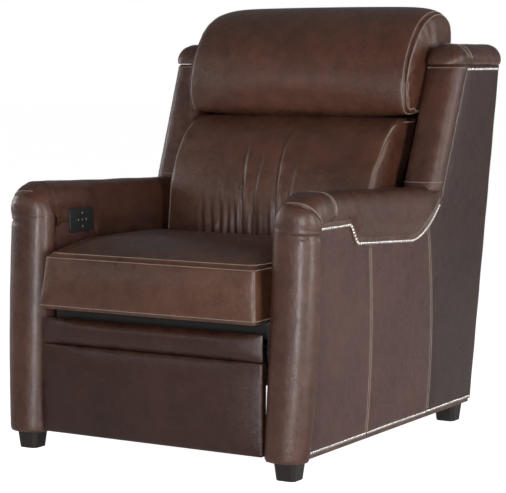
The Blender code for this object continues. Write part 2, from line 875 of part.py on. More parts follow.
def carriage(name, side, look):
    """Side plate of the seat, with the glides that run on the rail and the ear of the back's hinge."""
    inner, outer = plate_x()
    nose = front_y + seat_front_rail_face
    rear = front_y + seat_rear_rail_face + seat_rear_rail_thickness
    slant = seat_front_rail_face
    outline = [(nose, carriage_nose_bottom), (nose + carriage_nose_length, carriage_nose_bottom),
               (nose + carriage_nose_length + slant, carriage_bottom), (rear, carriage_bottom)]
    outline += arc((back_pivot_y, back_pivot_z), carriage_ear_radius, -60, 90, 6)
    outline += [(rear, seat_rail_top), (nose, seat_rail_top)]
    mesh_data = bmesh.new()
    slab_x(mesh_data, outline, *side_pair(inner, outer, side))
    plate = finish(name, mesh_data, look)
    glides = bmesh.new()
    for place in (rear - glide_length - glide_spread, rear - glide_length):
        rings = []
        for z in (carriage_bottom + gap, rail_bottom + rail_height):
            face = side_x(z) - side_thickness - rail_thickness - running_gap
            rings.append([Vector((side * x, y, z)) for x, y in
                          ((outer - overrun, place), (face, place), (face, place + glide_length),
                           (outer - overrun, place + glide_length))])
        loft(glides, rings)
    join(plate, glides)


def seat_cross_bar(name, look):
    """Ties the two side plates, with the lug that the recline rod pushes."""
    half = cross_bar_width / 2
    y = front_y + cross_bar_place
    reach = plate_x()[0] - gap
    mesh_data = bmesh.new()
    box(mesh_data, (-reach, y - half, cross_bar_bottom), (reach, y + half, cross_bar_bottom + cross_bar_height))
    piece = finish(name, mesh_data, look)
    lug = bmesh.new()
    box(lug, (actuator_side - half, y + half - overrun, recline_z - 2 * rod_radius),
        (actuator_side + half, y + half + drive_lug_thickness, cross_bar_bottom + cross_bar_height / 2))
    join(piece, lug)


def seat_rails(front_name, rear_name, look):
    reach = plate_x()[0] - gap
    front = front_y + seat_front_rail_face
    mesh_data = bmesh.new()
    box(mesh_data, (-reach, front, seat_front_rail_bottom), (reach, front + seat_rail_thickness, seat_rail_top))
    finish(front_name, mesh_data, look)
    rear = front_y + seat_rear_rail_face
    mesh_data = bmesh.new()
    box(mesh_data, (-reach, rear, seat_rear_rail_bottom), (reach, rear + seat_rear_rail_thickness, seat_rail_top))
    finish(rear_name, mesh_data, look)


def seat_deck(name, look):
    """Stretched cloth over the rails, under the cushion."""
    mesh_data = bmesh.new()
    reach = plate_x()[1]
    low = seat_rail_top + gap
    box(mesh_data, (-reach, front_y + seat_front_rail_face, low),
        (reach, front_y + seat_rear_rail_face - cushion_clearance, low + deck_thickness))
    finish(name, mesh_data, look)


# Cushions

def grid_shares(count, edge_share):
    """Places of cuts across a cushion, from -1 to 1, with close ones near its edges."""
    inner = 1 - edge_share
    places = [-1 + edge_share * 0.3, -inner]
    places += [inner * (2 * i / count - 1) for i in range(1, count)]
    places += [inner, 1 - edge_share * 0.3]
    return places


def cushion(name, look, half, corner, counts, shape, origin=(0.0, 0.0, 0.0), extra_cuts=()):
    """A padded block. Its box is cut into a grid, its edges are rounded, and shape() places each point
    from its rounded position and its shares of the half sizes."""
    mesh_data = bmesh.new()
    bmesh.ops.create_cube(mesh_data, size=2.0)
    for axis in range(3):
        normal = [0.0, 0.0, 0.0]
        normal[axis] = 1.0
        cuts = grid_shares(counts[axis], corner / half[axis])
        cuts += [share for cut_axis, share in extra_cuts if cut_axis == axis]
        for share in sorted(cuts):
            point = [0.0, 0.0, 0.0]
            point[axis] = share
            everything = mesh_data.verts[:] + mesh_data.edges[:] + mesh_data.faces[:]
            bmesh.ops.bisect_plane(mesh_data, geom=everything, plane_co=point, plane_no=normal)
    for vert in mesh_data.verts:
        share = vert.co.copy()
        place = Vector([share[k] * half[k] for k in range(3)])
        core = Vector([max(-half[k] + corner, min(half[k] - corner, place[k])) for k in range(3)])
        out = place - core
        if out.length > 0:
            place = core + out.normalized() * corner
        vert.co = shape(place, share)
    return finish(name, mesh_data, look, origin=origin, smooth_angle=70.0)


def seat_cushion(name, look):
    depth = seat_rear_y - front_y
    height = seat_edge_z - seat_bottom_z
    centre = Vector((0.0, front_y + depth / 2, seat_bottom_z + height / 2))

    def shape(place, share):
        x, y, z = place
        swell = 1 - ((share.z - seat_front_belly) / (1 - seat_front_belly)) ** 2 * 1.5
        front_side = max(0.0, -share.y) ** 2
        y -= seat_front_proud * swell * (1 - share.x ** 4 * 0.3) * front_side
        x -= math.copysign(seat_draw_in, x) * (1 - share.y ** 2) * abs(share.x) ** 3
        if share.z > 0:
            z += seat_crown * share.z * (1 - share.x ** 4) * (1 - share.y ** 4)
        return centre + Vector((x, y, z))

    cushion(name, look, (seat_half_width, depth / 2, height / 2), seat_corner, (8, 8, 3), shape,
            extra_cuts=[(2, seat_front_belly)])


# Footrest

def forward(point):
    """A point given as (forward of the arm front, height), as (y, z)."""
    return (front_y - point[0], point[1])


def swing(centre, length, degrees):
    a = math.radians(degrees)
    return (centre[0] + length * math.cos(a), centre[1] + length * math.sin(a))


def footrest_pivots():
    """Pivots of the folded linkage, as (forward of the arm front, height)."""
    knee = swing(main_pivot, main_length, main_rest_angle)
    knee_open = swing(main_pivot, main_length, main_rest_angle + main_travel)
    run = ottoman_pivot_forward - knee[0]
    rise = math.sqrt(front_length ** 2 - run ** 2)
    angle = math.degrees(math.atan2(rise, run))
    grip = swing(knee, front_length * control_share, angle)
    grip_open = swing(knee_open, front_length * control_share, front_open_angle)
    run, climb = grip_open[0] - grip[0], grip_open[1] - grip[1]
    span = math.hypot(run, climb)
    fixed = ((grip[0] + grip_open[0]) / 2 - climb / span * control_offset,
             (grip[1] + grip_open[1]) / 2 + run / span * control_offset)
    return {"knee": knee, "ottoman": (ottoman_pivot_forward, knee[1] + rise),
            "band": swing(knee, front_length * band_pivot_share, angle), "grip": grip, "fixed": fixed}


def layer_x(layer, side):
    low = link_plane + link_step * layer
    return side_pair(low, low + link_thickness, side)


def link(name, side, look, first, second, layer):
    mesh_data = bmesh.new()
    slab_x(mesh_data, capsule(forward(first), forward(second), link_width), *layer_x(layer, side))
    y, z = forward(first)
    return finish(name, mesh_data, look, origin=(side * link_plane, y, z))


def control_link(name, side, look, first, second):
    """Link with the stub pin that carries it on the side plate."""
    piece = link(name, side, look, first, second, 3)
    pin = bmesh.new()
    root = link_plane + link_step * 3 + link_thickness / 2
    rod_x(pin, *side_pair(root, plate_x()[0] - gap, side), *forward(first), pin_radius)
    join(piece, pin)


def lever_tip():
    return swing(main_pivot, lever_radius, 270 - main_travel / 2)


def footrest_stroke():
    return 2 * lever_radius * math.sin(math.radians(main_travel / 2))


def footrest_drive(name, look, knee):
    """Stepped shaft that carries both main links and the lever that the actuator pushes."""
    y, z = forward(main_pivot)
    root, end = link_plane + link_thickness / 2, plate_x()[0] - gap
    steps = [(-end, pin_radius), (-root, pin_radius), (-root, torque_radius)]
    steps += [(-x, radius) for x, radius in reversed(steps)]
    mesh_data = bmesh.new()
    shaft_x(mesh_data, y, z, steps)
    piece = finish(name, mesh_data, look, origin=(0.0, y, z))
    arms = bmesh.new()
    for side in (-1, 1):
        slab_x(arms, capsule((y, z), forward(knee), link_width), *layer_x(0, side))
    half = lever_thickness / 2
    slab_x(arms, capsule((y, z), forward(lever_tip()), 2 * torque_radius - gap), -actuator_side - half,
           -actuator_side + half)
    join(piece, arms)


def footrest_actuator(name, look):
    """Fixed to the front of the rear seat rail."""
    z = lever_tip()[1]
    rear = front_y + seat_rear_rail_face - gap
    tube_rear = forward(lever_tip())[0] + footrest_stroke() + footrest_tube_length + footrest_rod_room
    actuator(name, look, -actuator_side, z, tube_rear - footrest_tube_length, tube_rear, rear,
             z - motor_below_axis, 1)


def footrest_rod(name, look):
    """Push rod with its forked end astride the lever. The pin between them is left out."""
    tip_y, z = forward(lever_tip())
    slot = lever_thickness / 2 + running_gap
    fork = slot + clevis_ear
    half = clevis_height / 2
    front, slot_end, rear = tip_y - clevis_length / 2, tip_y + clevis_length, tip_y + clevis_length + clevis_ear
    mesh_data = bmesh.new()
    rod_y(mesh_data, rear - overrun, tip_y + footrest_stroke() + footrest_tube_length, -actuator_side, z, rod_radius)
    piece = finish(name, mesh_data, look, origin=(-actuator_side, tip_y, z))
    block = bmesh.new()
    box(block, (-actuator_side - fork, front, z - half), (-actuator_side + fork, rear, z + half))
    join(piece, block)
    slit = bmesh.new()
    box(slit, (-actuator_side - slot, front - overrun, z - half - overrun),
        (-actuator_side + slot, slot_end, z + half + overrun))
    cut(piece, slit)


def boarded_bracket(name, look, pad, board, low, high, fin, layer, origin):
    """A pad's board, upright across the chair, with a bracket to its pivot behind each end."""
    front, rear = front_y + pad, front_y + pad + board
    reach = panel_half_width - board_inset
    mesh_data = bmesh.new()
    box(mesh_data, (-reach, front, low + board_margin), (reach, rear, high - board_margin))
    piece = finish(name, mesh_data, look, origin=origin)
    fins = bmesh.new()
    for side in (-1, 1):
        slab_x(fins, [forward(point) for point in fin], *layer_x(layer, side))
    join(piece, fins)


def swelling_pad(name, look, pad, low, high, crown, rows_up, origin):
    """A pad on an upright board, swelling forward to the arm fronts' plane in its middle."""
    half = (panel_half_width, (pad - gap) / 2, (high - low) / 2)
    centre = Vector((0.0, front_y + half[1], (low + high) / 2))

    def shape(place, share):
        x, y, z = place
        if share.y < 0:
            y += crown * (1 - (1 - share.x ** 6) * (1 - share.z ** 4)) * -share.y
        return centre + Vector((x, y, z))

    cushion(name, look, half, half[1] * 0.85, (7, 1, rows_up), shape, origin=origin)


def ottoman(pivots, frame_look, leather):
    pivot = pivots["ottoman"]
    y, z = forward(pivot)
    face = -panel_pad - panel_board + overrun
    ring = link_width / 2
    fin = [(face, panel_bottom_z + bracket_foot), (face, panel_top_z - 2 * board_margin)]
    fin += arc(pivot, ring, -20, 200, 8)
    fin.append((face - overrun - ring, panel_bottom_z + bracket_foot))
    origin = (0.0, y, z)
    boarded_bracket("ottoman_frame", frame_look, panel_pad, panel_board, panel_bottom_z, panel_top_z, fin, 0, origin)
    swelling_pad("ottoman_pad", leather, panel_pad, panel_bottom_z, panel_top_z, panel_crown, 4, origin)


def band(pivots, frame_look, leather):
    pivot = pivots["band"]
    y, z = forward(pivot)
    face = -band_pad - band_board + overrun
    low, high = band_bottom_z + board_margin, band_top_z - board_margin
    fin = [(face, low), (face, high), (face - overrun - band_shelf * 0.6, high)]
    fin += arc(pivot, link_width / 2, 140, 290, 7)
    fin.append((face - band_shelf * 0.75, low - gap))
    origin = (0.0, y, z)
    boarded_bracket("band_frame", frame_look, band_pad, band_board, band_bottom_z, band_top_z, fin, 2, origin)
    swelling_pad("band_pad", leather, band_pad, band_bottom_z, band_top_z, band_crown, 2, origin)


# Back

def board_y(z):
    """Front face of the back board at a height."""
    return board_ref_y + (z - board_ref_z) * math.tan(back_rake)


def board_rear_y(z):
    return board_y(z) + board_thickness / math.cos(back_rake)


def leaning_plate(mesh_data, x_low, x_high, z_low, z_high, face, thickness):
    """A plate behind a leaning face, given by its y at each height."""
    outline = [(face(z_low), z_low), (face(z_high), z_high), (face(z_high) + thickness, z_high),
               (face(z_low) + thickness, z_low)]
    slab_x(mesh_data, outline, x_low, x_high)


def back_origin():
    return (0.0, back_pivot_y, back_pivot_z)


def behind_board(z):
    return board_rear_y(z) + gap


def back_board(name, look):
    mesh_data = bmesh.new()
    leaning_plate(mesh_data, -board_half_width, board_half_width, board_foot_z, board_top_z,
                  board_y, board_thickness / math.cos(back_rake))
    finish(name, mesh_data, look, origin=back_origin())


def hinge_ear():
    """Outline of an ear that carries the headrest, from the bar behind the board over its top."""
    half = head_arm_height / 2
    foot_z, top_z = (top_bar_foot_z + top_bar_top_z) / 2, head_pivot_z + half
    outline = arc((head_pivot_y, head_pivot_z), half, 90, 260, 6)
    outline += [(board_y(board_top_z), board_top_z + gap), (behind_board(board_top_z), board_top_z + gap)]
    outline += [(behind_board(foot_z) + top_bar_thickness * share, foot_z) for share in (0.25, 0.75)]
    outline.append((behind_board(top_z) + top_bar_thickness * 0.75, top_z))
    return outline


def back_frame(name, look):
    """Steel bar across two uprights: the back's hinge is at their feet and the headrest's ears are on top."""
    mesh_data = bmesh.new()
    reach = upright_side + upright_thickness / 2
    leaning_plate(mesh_data, -reach, reach, top_bar_foot_z, top_bar_top_z, behind_board, top_bar_thickness)
    piece = finish(name, mesh_data, look, origin=back_origin())
    uprights = bmesh.new()
    ring = upright_foot_width / 2
    outline = arc((back_pivot_y, back_pivot_z), ring, 200, 340, 7)
    outline += [(behind_board(board_foot_z + ring) + upright_foot_width, board_foot_z + ring),
                (behind_board(upright_top_z) + upright_width, upright_top_z),
                (behind_board(upright_top_z), upright_top_z), (behind_board(board_foot_z), board_foot_z)]
    low = head_arm_side + head_arm_thickness + running_gap
    for side in (-1, 1):
        slab_x(uprights, outline, *side_pair(upright_side, upright_side + upright_thickness, side))
        slab_x(uprights, hinge_ear(), *side_pair(low, low + head_arm_thickness, side))
    join(piece, uprights)
    pins = bmesh.new()
    for side in (-1, 1):
        rod_x(pins, *side_pair(upright_side + overrun, plate_x()[0] - gap, side), back_pivot_y, back_pivot_z,
              upright_pin_radius)
    join(piece, pins)


def spread(reach, x, z, y):
    """How far a cushion's end swells outwards where it stands in front of a wing."""
    ahead = wing_roll_front(z) - ear_clearance - y
    return math.copysign(reach * smooth_step(ahead / ear_run), x)


def back_cushion(name, look):
    """Tall cushion: thick at the loins, thinner under the headrest, with an upright sewn seam in its middle."""
    height = back_top_z - back_foot_z
    half = (back_half_width, back_thick_low / 2, height / 2)

    def shape(place, share):
        x, z = place.x, back_foot_z + place.z + half[2]
        up_share = (share.z + 1) / 2
        thickness = back_thick_low - (back_thick_low - back_thick_high) * up_share ** back_thinning_power
        out = (half[1] - place.y) / back_thick_low * (thickness - gap)
        x -= math.copysign(back_draw_in * (1 - share.z ** 2) * abs(share.x) ** 3, x)
        if share.y < 0:
            rise = smooth_step((z - back_crown_start_z) / back_crown_rise)
            out += back_crown * rise * (1 - share.x ** 4) * (1 - max(0.0, share.z) ** 3) * -share.y
            seam = math.exp(-(place.x / back_seam_half_width) ** 2)
            out -= back_seam_depth * seam * (1 - share.z ** 4) * -share.y
        face = board_y(z) - gap
        if z < seat_edge_z + seat_crown:
            out = min(out, face - seat_rear_y - cushion_clearance)
        y = face - out
        if abs(share.x) > 0.5:
            ear = smooth_step((z - back_ear_start_z) / back_ear_rise) * (2 * abs(share.x) - 1)
            x += spread(back_ear * ear, x, z, y)
        return Vector((x, y, z))

    seam_cuts = [(0, way * back_seam_half_width * reach / back_half_width) for way in (-1, 1) for reach in (0.6, 1.4)]
    cushion(name, look, half, back_corner, (8, 2, 9), shape, origin=back_origin(), extra_cuts=seam_cuts)


def head_rear(z):
    """Rear face of the headrest cushion at a height."""
    return head_rear_y + (z - head_rear_z) * math.tan(back_rake)


# Side profile of the headrest cushion, from its lower rear edge forwards, up the front and over the top:
# shares of its depth in front of the rear face's foot, and of its height
head_profile_shares = ((0.10, 0.015), (0.45, 0.000), (0.80, -0.030), (0.95, 0.005), (1.00, 0.100), (1.005, 0.250),
                       (0.960, 0.420), (0.880, 0.590), (0.745, 0.760), (0.570, 0.890), (0.360, 0.968),
                       (0.140, 1.000), (-0.060, 0.985), (-0.220, 0.910), (-0.300, 0.800))
head_rear_shares = (0.660, 0.450, 0.270, 0.120, 0.060)
# How full the headrest's section is at shares of its half width
head_end_shares = ((-1.0, 0.62), (-0.985, 0.80), (-0.95, 0.92), (-0.88, 0.98), (-0.5, 1.0))


def headrest_cushion(name, look):
    """A bolster: one side profile, carried across and drawn in at the ends."""
    profile = [(head_rear_y - head_depth * ahead, head_foot_z + head_height * up) for ahead, up in head_profile_shares]
    heights = [head_foot_z + head_height * up for up in head_rear_shares]
    profile += [(head_rear(z), z) for z in heights]
    centre = (head_rear_y - head_depth * 0.36, head_foot_z + head_height * 0.48)
    stations = head_end_shares + tuple((-x, full) for x, full in reversed(head_end_shares))
    mesh_data = bmesh.new()
    rings = []
    for share, full in stations:
        ring = []
        for y, z in profile:
            point = Vector((head_half_width * share, centre[0] + (y - centre[0]) * full,
                            centre[1] + (z - centre[1]) * full))
            if 0.9 < abs(share) < 1 and z < wing_top:
                point.x += spread(head_ear, share, point.z, point.y)
            ring.append(point)
        rings.append(ring)
    loft(mesh_data, rings)
    finish(name, mesh_data, look, origin=head_origin(), smooth_angle=70.0)


def head_origin():
    return (0.0, head_pivot_y, head_pivot_z)


def headrest_frame(name, look):
    """Board behind the headrest, its two hinge arms, and the lever that the rod pushes."""
    def face(z):
        return head_rear(z) + gap

    mesh_data = bmesh.new()
    leaning_plate(mesh_data, -head_frame_half_width, head_frame_half_width, head_frame_foot, head_frame_top, face,
                  head_frame_thickness)
    piece = finish(name, mesh_data, look, origin=head_origin())
    half = head_arm_height / 2
    joint_z = head_frame_foot + head_arm_overlap
    deep = head_frame_thickness
    heel = [(face(head_frame_foot) + deep * 0.9, head_pivot_z - half), (face(joint_z) + deep * 0.9, joint_z),
            (face(joint_z) + deep * 0.5, joint_z), (face(head_frame_foot) + deep * 0.5, head_pivot_z + half)]
    arms = bmesh.new()
    outline = arc((head_pivot_y, head_pivot_z), half, 90, 270, 6) + heel
    for side in (-1, 1):
        slab_x(arms, outline, *side_pair(head_arm_side, head_arm_side + head_arm_thickness, side))
    front, rear = head_lever_y - half, head_lever_y + half
    lever = [(front, head_pivot_z + half), (front, head_lever_foot_z), (rear, head_lever_foot_z),
             (rear, head_pivot_z - half)] + heel
    slab_x(arms, lever, -head_arm_thickness / 2, head_arm_thickness / 2)
    join(piece, arms)


def headrest_axis(z):
    """A point on the headrest actuator's axis, parallel to the board's rear face."""
    return Vector((0.0, board_rear_y(z) + head_axis_off / math.cos(back_rake), z))


def headrest_drive(actuator_name, rod_name, look, rod_look):
    rise = math.cos(back_rake)
    motor_top = head_motor_z + head_motor_length * rise
    tube_top = motor_top + head_tube_length * rise
    mesh_data = bmesh.new()
    half = motor_width / 2
    leaning_plate(mesh_data, -half, half, head_motor_z, motor_top, behind_board, 2 * head_axis_off)
    piece = finish(actuator_name, mesh_data, look, origin=headrest_axis(motor_top))
    extras = bmesh.new()
    pipe(extras, headrest_axis(motor_top - overrun), headrest_axis(tube_top), tube_radius, bore_radius)
    can = headrest_axis((head_motor_z + motor_top) / 2)
    rod_x(extras, half - overrun, half + motor_can_length, can.y, can.z, motor_can_radius * 0.8)
    join(piece, extras)
    mesh_data = bmesh.new()
    bar(mesh_data, headrest_axis(tube_top - head_tube_length / 2), headrest_axis(head_rod_top_z), rod_radius)
    finish(rod_name, mesh_data, rod_look, origin=headrest_axis(tube_top))


def main():
    clear_scene()
    leather = material("leather_brown", (0.060, 0.033, 0.024), 0.42)
    leather_pad = material("leather_brown_pad", (0.066, 0.037, 0.027), 0.40)
    foot_wood = material("foot_espresso", (0.012, 0.010, 0.009), 0.35)
    wood = material("frame_wood", (0.42, 0.28, 0.16), 0.60)
    steel = material("mechanism_steel", (0.05, 0.05, 0.055), 0.38, 0.9)
    rod_steel = material("rod_steel", (0.62, 0.62, 0.64), 0.22, 1.0)
    cloth = material("deck_cloth", (0.02, 0.02, 0.02), 0.9)
    casing = material("casing_plastic", (0.015, 0.015, 0.017), 0.45)
    key = material("key_plastic", (0.03, 0.03, 0.034), 0.35)
    rubber = material("gland_rubber", (0.01, 0.01, 0.01), 0.75)
    sides = ((-1, "right"), (1, "left"))

    for side, word in sides:
        arm_front_roll("arm_front_roll_" + word, side, leather)
        arm_scroll("arm_scroll_" + word, side, leather)
        arm_pad("arm_pad_" + word, side, leather_pad)
        arm_panel("arm_panel_" + word, side, leather)
        wing_panel("wing_panel_" + word, side, leather)
        wing_roll("wing_roll_" + word, side, leather)
        wing_cap("wing_cap_" + word, side, leather)
        side_plinth("plinth_" + word, side, leather)
        foot("foot_front_" + word, side, front_y + foot_from_front, foot_wood)
        foot("foot_rear_" + word, side, rear_y - foot_from_rear, foot_wood)
        mechanism_rail("mechanism_rail_" + word, side, steel)
    outside_back("outside_back", leather)
    back_top_cap("back_top_cap", leather)
    rear_plinth("plinth_rear", leather)
    rear_stretcher("rear_stretcher", steel)
    recline_actuator("recline_actuator", casing)
    power_gland("power_gland", rubber)
    keypad_housing("keypad_housing", casing)
    keys(key)

    for side, word in sides:
        carriage("carriage_plate_" + word, side, steel)
    seat_cross_bar("seat_cross_bar", steel)
    seat_rails("seat_front_rail", "seat_rear_rail", wood)
    seat_deck("seat_deck", cloth)
    seat_cushion("seat_cushion", leather_pad)
    recline_rod("recline_rod", rod_steel)
    footrest_actuator("footrest_actuator", casing)

    pivots = footrest_pivots()
    footrest_drive("footrest_drive", steel, pivots["knee"])
    for side, word in sides:
        link("front_link_" + word, side, steel, pivots["knee"], pivots["ottoman"], 1)
        control_link("control_link_" + word, side, steel, pivots["fixed"], pivots["grip"])
    footrest_rod("footrest_rod", rod_steel)
    ottoman(pivots, steel, leather_pad)
    band(pivots, steel, leather_pad)

    back_board("back_board", wood)
    back_frame("back_frame", steel)
    back_cushion("back_cushion", leather_pad)
    headrest_drive("headrest_actuator", "headrest_rod", casing, rod_steel)
    headrest_frame("headrest_frame", steel)
    headrest_cushion("headrest_cushion", leather_pad)


main()
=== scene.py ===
import json
from itertools import product
from math import copysign, cos, exp, pi, radians, sin, sqrt, tan

import bmesh
import bpy
import numpy as np
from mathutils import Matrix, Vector, noise
from mathutils.bvhtree import BVHTree
from mathutils.kdtree import KDTree

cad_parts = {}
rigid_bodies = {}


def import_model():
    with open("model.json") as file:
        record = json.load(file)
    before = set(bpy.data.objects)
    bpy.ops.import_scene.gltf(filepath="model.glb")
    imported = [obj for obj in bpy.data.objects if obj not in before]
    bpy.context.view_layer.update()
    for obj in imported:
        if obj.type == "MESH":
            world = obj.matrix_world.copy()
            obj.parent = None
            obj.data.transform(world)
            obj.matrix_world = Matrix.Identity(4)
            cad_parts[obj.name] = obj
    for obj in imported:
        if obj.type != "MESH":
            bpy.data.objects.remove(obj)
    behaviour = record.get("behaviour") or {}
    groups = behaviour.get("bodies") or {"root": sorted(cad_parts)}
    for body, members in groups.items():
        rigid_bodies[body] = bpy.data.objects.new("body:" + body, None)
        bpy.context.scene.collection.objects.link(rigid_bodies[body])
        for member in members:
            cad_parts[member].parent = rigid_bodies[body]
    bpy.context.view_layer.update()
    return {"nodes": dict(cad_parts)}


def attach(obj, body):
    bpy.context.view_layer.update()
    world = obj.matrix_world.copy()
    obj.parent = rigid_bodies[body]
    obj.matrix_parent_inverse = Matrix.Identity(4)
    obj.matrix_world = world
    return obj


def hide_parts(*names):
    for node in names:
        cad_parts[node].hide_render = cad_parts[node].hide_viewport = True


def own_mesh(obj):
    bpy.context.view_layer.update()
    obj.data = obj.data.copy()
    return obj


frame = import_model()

SIDES = (("right", -1), ("left", 1))
scene = bpy.context.scene

# Shell sizes, as the CAD has them, in metres
front_y, rear_y = -0.528767, 0.414233
base_half_width, side_thickness = 0.400, 0.088
side_lean, front_rake, rear_rake = (radians(a) for a in (1.5, 3.5, 7.3))
foot_height, panel_foot, wing_top = 0.043, 0.0525, 0.934
cap_height, cap_overhang, cap_rear_overhang, cap_front_proud = 0.053, 0.009, 0.012, 0.0125
shelf_z, arm_top_front, arm_top_rear = 0.568, 0.648, 0.630
roll_front_swell, scroll_length = 0.007, 0.110
pad_step_z, pad_low_z, pad_step_start, pad_step_length = 0.521, 0.505, 0.227, 0.048
pad_rise_start, pad_rise_power = 0.549, 2.0
wing_foot_z, wing_foot_depth, wing_slope, wing_roll_depth = 0.598, 0.719, 0.398, 0.064
back_skin, back_cap_depth = 0.012, 0.045
arch_power = 2.6
gap = 0.0003
cover_in = side_thickness + 0.0018  # how far in the cover over the side's inner face lies
column_foot = 0.0425              # lower end of the arm's cover
knuckle_z, knuckle_angle = 0.557, 49.0  # the two seams that cross the cover on the elbow
ring_seam_y = -0.389              # the seam that crosses the cover on the arm's top
pad_lift = 0.0095                 # the cover's foot over the nail line under the pad
board_rake = tan(radians(22.0))   # the back board leans back
nail_pitch, nail_radius = 0.0096, 0.0042
plinth_nails_z, cap_nails_z = 0.0585, 0.9225
pucker_pitch = 0.0127             # between the puckers that tacks draw along an edge
seam_thread = 0.0048              # from a seam of the side to its row of thread
stitch_pitch, stitch_fill, thread_radius = 0.0056, 0.80, 0.00095


def side_x(z):
    return base_half_width + (z - foot_height) * tan(side_lean)


def on_side(side, inward, y, z):
    return (side * (side_x(z) - inward), y, z)


def arm_front(z):
    return front_y + (z - foot_height) * tan(front_rake)


def shell_rear(z):
    return rear_y + (z - foot_height) * tan(rear_rake)


def wing_seam(z):
    return front_y + wing_foot_depth + (z - wing_foot_z) * wing_slope


def smooth(share):
    share = min(max(share, 0.0), 1.0)
    return share * share * (3 - 2 * share)


def lerp(a, b, share):
    return a + (b - a) * share


def bell(offset, width):
    return exp(-(offset / width) ** 2)


def pad_edge(y):
    """Height of the nail line under the arm pad."""
    behind = y - front_y
    step_end = pad_step_start + pad_step_length
    low = lerp(pad_step_z, pad_low_z, min(max((behind - step_end) / (pad_rise_start - step_end), 0.0), 1.0))
    rise = max(0.0, (behind - pad_rise_start) / (wing_foot_depth - pad_rise_start))
    return (shelf_z - (shelf_z - low) * smooth((behind - pad_step_start) / pad_step_length)
            + (wing_foot_z - pad_low_z) * rise ** pad_rise_power)


def pad_edge_y(z):
    """Where the pad's lower edge rises through a height, towards the wing."""
    rise = min(1.0, max(0.0, (z - pad_low_z) / (wing_foot_z - pad_low_z)) ** (1 / pad_rise_power))
    return front_y + lerp(pad_rise_start, wing_foot_depth, rise)


def scroll_rear():
    return arm_front(shelf_z) + scroll_length


def arm_top(y):
    share = (y - scroll_rear()) / (wing_seam(arm_top_rear) - wing_roll_depth - scroll_rear())
    return lerp(arm_top_front, arm_top_rear, min(1.0, share))


def through(z, points):
    """The parabola through three (z, y) points."""
    (a, ya), (b, yb), (c, yc) = points
    return (ya * (z - b) * (z - c) / ((a - b) * (a - c)) + yb * (z - a) * (z - c) / ((b - a) * (b - c))
            + yc * (z - a) * (z - b) / ((c - a) * (c - b)))


def roll_depth(z):
    """From the arm's front face back to the side seam of its upright roll."""
    return through(z, ((0.055, 0.060), (0.300, 0.064), (0.560, 0.056)))


def roll_seam(z):
    return arm_front(z) + roll_depth(z)


def seam_one(z):
    return through(z, ((0.062, -0.180), (0.292, -0.170), (0.506, -0.189)))


def seam_two(z):
    return through(z, ((0.063, 0.152), (0.251, 0.161), (0.516, 0.128)))


def wave(point, size, seed=0.0):
    """Smooth noise from -1 to 1 with humps of about that size."""
    return noise.noise(Vector(point) / size + Vector((seed, seed * 1.7, -seed)))


# Materials

def add(tree, kind, inputs=None, **settings):
    made = tree.nodes.new("ShaderNode" + kind)
    for key, value in settings.items():
        setattr(made, key, value)
    for key, value in (inputs or {}).items():
        if isinstance(value, bpy.types.NodeSocket):
            tree.links.new(value, made.inputs[key])
        else:
            made.inputs[key].default_value = value
    return made


def new_look(name, **values):
    look = bpy.data.materials.new(name)
    look.use_nodes = True
    tree = look.node_tree
    for key, value in values.items():
        tree.nodes["Principled BSDF"].inputs[key.replace("_", " ")].default_value = value
    return look, tree, tree.nodes.new("ShaderNodeTexCoord").outputs["Object"]


def plug(tree, **sources):
    for key, value in sources.items():
        tree.links.new(value, tree.nodes["Principled BSDF"].inputs[key.replace("_", " ")])


def cloud(tree, place, scale, detail=4.0, rough=0.55, stretch=None):
    if stretch:
        place = add(tree, "Mapping", {"Vector": place, "Scale": stretch}).outputs["Vector"]
    return add(tree, "TexNoise", {"Vector": place, "Scale": scale, "Detail": detail,
                                            "Roughness": rough}).outputs["Fac"]


def span(tree, value, low, high, to_low=0.0, to_high=1.0):
    return add(tree, "MapRange", {"Value": value, "From Min": low, "From Max": high,
                                            "To Min": to_low, "To Max": to_high}).outputs["Result"]


def maths(tree, operation, a, b):
    return add(tree, "Math", {0: a, 1: b}, operation=operation).outputs["Value"]


def weighted(tree, first, share, second, other_share):
    return maths(tree, "ADD", maths(tree, "MULTIPLY", first, share), maths(tree, "MULTIPLY", second, other_share))


def blend_colour(tree, factor, first, second):
    made = add(tree, "Mix", data_type="RGBA")
    for socket, value in ((made.inputs[0], factor), (made.inputs[6], first), (made.inputs[7], second)):
        if isinstance(value, bpy.types.NodeSocket):
            tree.links.new(value, socket)
        else:
            socket.default_value = (*value, 1.0)
    return made.outputs[2]


def bump(tree, height, distance, strength=1.0, before=None):
    inputs = {"Height": height, "Distance": distance, "Strength": strength}
    if before:
        inputs["Normal"] = before
    return add(tree, "Bump", inputs).outputs["Normal"]


WORN = (0.170, 0.100, 0.070)      # leather where it is rubbed


